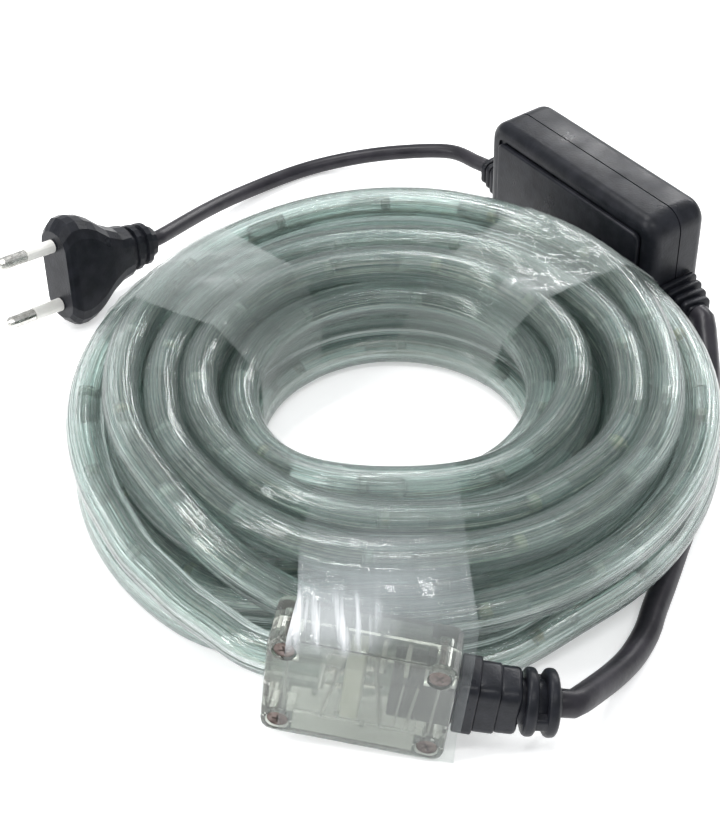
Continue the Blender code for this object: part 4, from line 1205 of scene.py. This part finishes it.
# %% Nose, collar and web: sizes, edge radius, steps, corner radius, and depth on the neck
NOSE_LENGTH = 13 * MM
nose_start = BOX_W / 2 - BOX_WALL - NOSE_LENGTH
nose_length = COLLAR - nose_start
BLOCKS = (
    ((9.4, 14.0, nose_length / MM), 0.5, 3, 2.0, nose_start + nose_length / 2),
    ((12.0, 16.5, 4.6), 0.5, 3, 2.6, COLLAR + 2.35 * MM), ((11.2, 15.0, 5.2), 0.6, 3, 2.8, COLLAR + 6.8 * MM),
    ((11.1, 14.4, 5.4), 1.2, 4, 3.2, COLLAR + 11.4 * MM), ((14.4, 3.8, 7.0), 0.5, 2, 1.0, FLANGES + 4.2 * MM),
)
parts = []
for size, radius, steps, upright, depth in BLOCKS:
    shape = block([side * MM for side in size], radius * MM, steps, upright * MM)
    parts.append((shape, on_neck(depth)))
print("connector blocks", len(parts))

# %% Flanges and neck
FLANGE_R, FLANGE_EDGE, FIRST_FLANGE = 7.8, 1.1, 1.9 * MM
edge_turns = (0.4, 0.8, 1.2, 1.57)
half_flange = [(0, -1.4), (5.6, -1.4), (6.6, -1.35)]
half_flange += [
    (FLANGE_R - FLANGE_EDGE + FLANGE_EDGE * math.sin(t), -0.3 - FLANGE_EDGE * math.cos(t)) for t in edge_turns
]
flange_profile = in_mm(*half_flange, *((radius, -depth) for radius, depth in reversed(half_flange)))
neck_profile = in_mm((0, -5.4), (5.2, -5.4), (5.2, 3.2), (4.4, 4.4), (3.9, 5.0), (0, 5.0))
for shift in (0, FLANGE_THICK + FLANGE_GROOVE):
    parts.append((spun(flange_profile, 36), on_neck(FLANGES + FIRST_FLANGE + shift)))
parts.append((spun(neck_profile, 28), on_neck(NECK_TIP - 5.0 * MM)))
connector = merged("connector_moulding", parts, moulding)
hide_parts("lead_connector")

# %% [markdown]
# ## Controller
# The controller is a two-part case of satin black plastic that stands on its long narrow side. Its corners
# are rounded first and then its two broad rims. The seam is a fine groove round the middle. Its front is a
# shallow tray, and the raised panel stands in it with a groove all round.

# %% Controller case
CTRL_CORNER_R, CTRL_EDGE, SEAM_HALF, PANEL_MARGIN = 6.5 * MM, 3.6 * MM, 0.22 * MM, 5.6 * MM
case = block((CTRL_L, CTRL_H, CTRL_T), CTRL_EDGE, 6, CTRL_CORNER_R)
for level in (-SEAM_HALF, SEAM_HALF):
    bmesh.ops.bisect_plane(
        case, geom=case.verts[:] + case.edges[:] + case.faces[:], plane_co=(0, 0, level), plane_no=(0, 0, 1)
    )
groove = [face for face in case.faces if all(abs(vert.co.z) < 0.3 * MM for vert in face.verts)]
bmesh.ops.inset_region(case, faces=groove, thickness=0.02 * MM, depth=-0.3 * MM, use_even_offset=False)
front = max(case.faces, key=lambda face: face.calc_center_median().z + face.calc_area())
for inset, rise in ((1.2, 0.0), (0.3, -0.8)):
    bmesh.ops.inset_region(case, faces=[front], thickness=inset * MM, depth=rise * MM, use_even_offset=True)
back = min(case.faces, key=lambda face: face.calc_center_median().z - face.calc_area())
for inset, rise in ((1.6, 0.0), (0.3, -0.3)):
    bmesh.ops.inset_region(case, faces=[back], thickness=inset * MM, depth=rise * MM, use_even_offset=True)
print("case", len(case.faces), "faces")

# %% Front panel, and the two in one
panel = block((CTRL_L - 2 * PANEL_MARGIN, CTRL_H - 2 * PANEL_MARGIN, 2.0 * MM), 0.7 * MM, 4, 2.2 * MM)
panel_frame = CTRL @ Matrix.Translation((0, 0, CTRL_T / 2 + 0.3 * MM))
controller = merged("controller_case", [(case, CTRL), (panel, panel_frame)], moulding, 38.0)
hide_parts("controller_front", "controller_back")

# %% [markdown]
# ## Strain reliefs
# A ribbed strain relief at each end of the controller lets the lead bend softly. It is a core with four fins
# that get smaller towards the lead, each standing square to the bend.

# %% Reliefs
FINS, FIN_SHRINK, CORE_SHARE = 4, 0.11, 0.7
fin = RELIEF_LENGTH / FINS
for side, name, solid in ((1, "relief_output", "output_relief"), (-1, "relief_mains", "mains_relief")):
    root, bend = relief_frame(side), RELIEF_BEND * side
    parts = []
    for index in range(FINS):
        shrink = 1 - FIN_SHRINK * index
        wide, tall = 14.0 * MM * shrink, 11.0 * MM * shrink
        square = bent(root, 0.0, bend, RELIEF_LENGTH, (index + 0.3) * fin)
        parts.append((block((wide, tall, 0.58 * fin), 0.35 * MM, 2, 1.8 * MM), square))
        core = bent(root, 0.0, bend, RELIEF_LENGTH, (index + 0.5) * fin)
        deep = 1.12 * fin if index < FINS - 1 else 0.98 * fin
        parts.append((block((wide * CORE_SHARE, tall * CORE_SHARE, deep), 0.2 * MM, 2, 1.6 * MM), core))
    # The first core is moved off the controller's wall.
    first_core = parts[1][0]
    bmesh.ops.translate(first_core, vec=(0, 0, 0.08 * fin), verts=first_core.verts)
    made = merged(name, parts, moulding)
    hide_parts(solid)

# %% [markdown]
# ## Finishes for the CAD pieces that stay
# The shells of the splice box and the plug keep their CAD shape and get a finish in their material slots.

# %% Finishes on CAD pieces
KEPT = {
    "splice_box_front": case_clear, "splice_box_back": case_clear, "plug_body": moulding,
    "plug_sleeve_1": sleeve_white, "plug_sleeve_2": sleeve_white, "plug_pin_1": nickel, "plug_pin_2": nickel,
}
for name, look in KEPT.items():
    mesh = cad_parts[name].data
    mesh.materials.clear()
    mesh.materials.append(look)
print("CAD pieces with a new finish", len(KEPT))
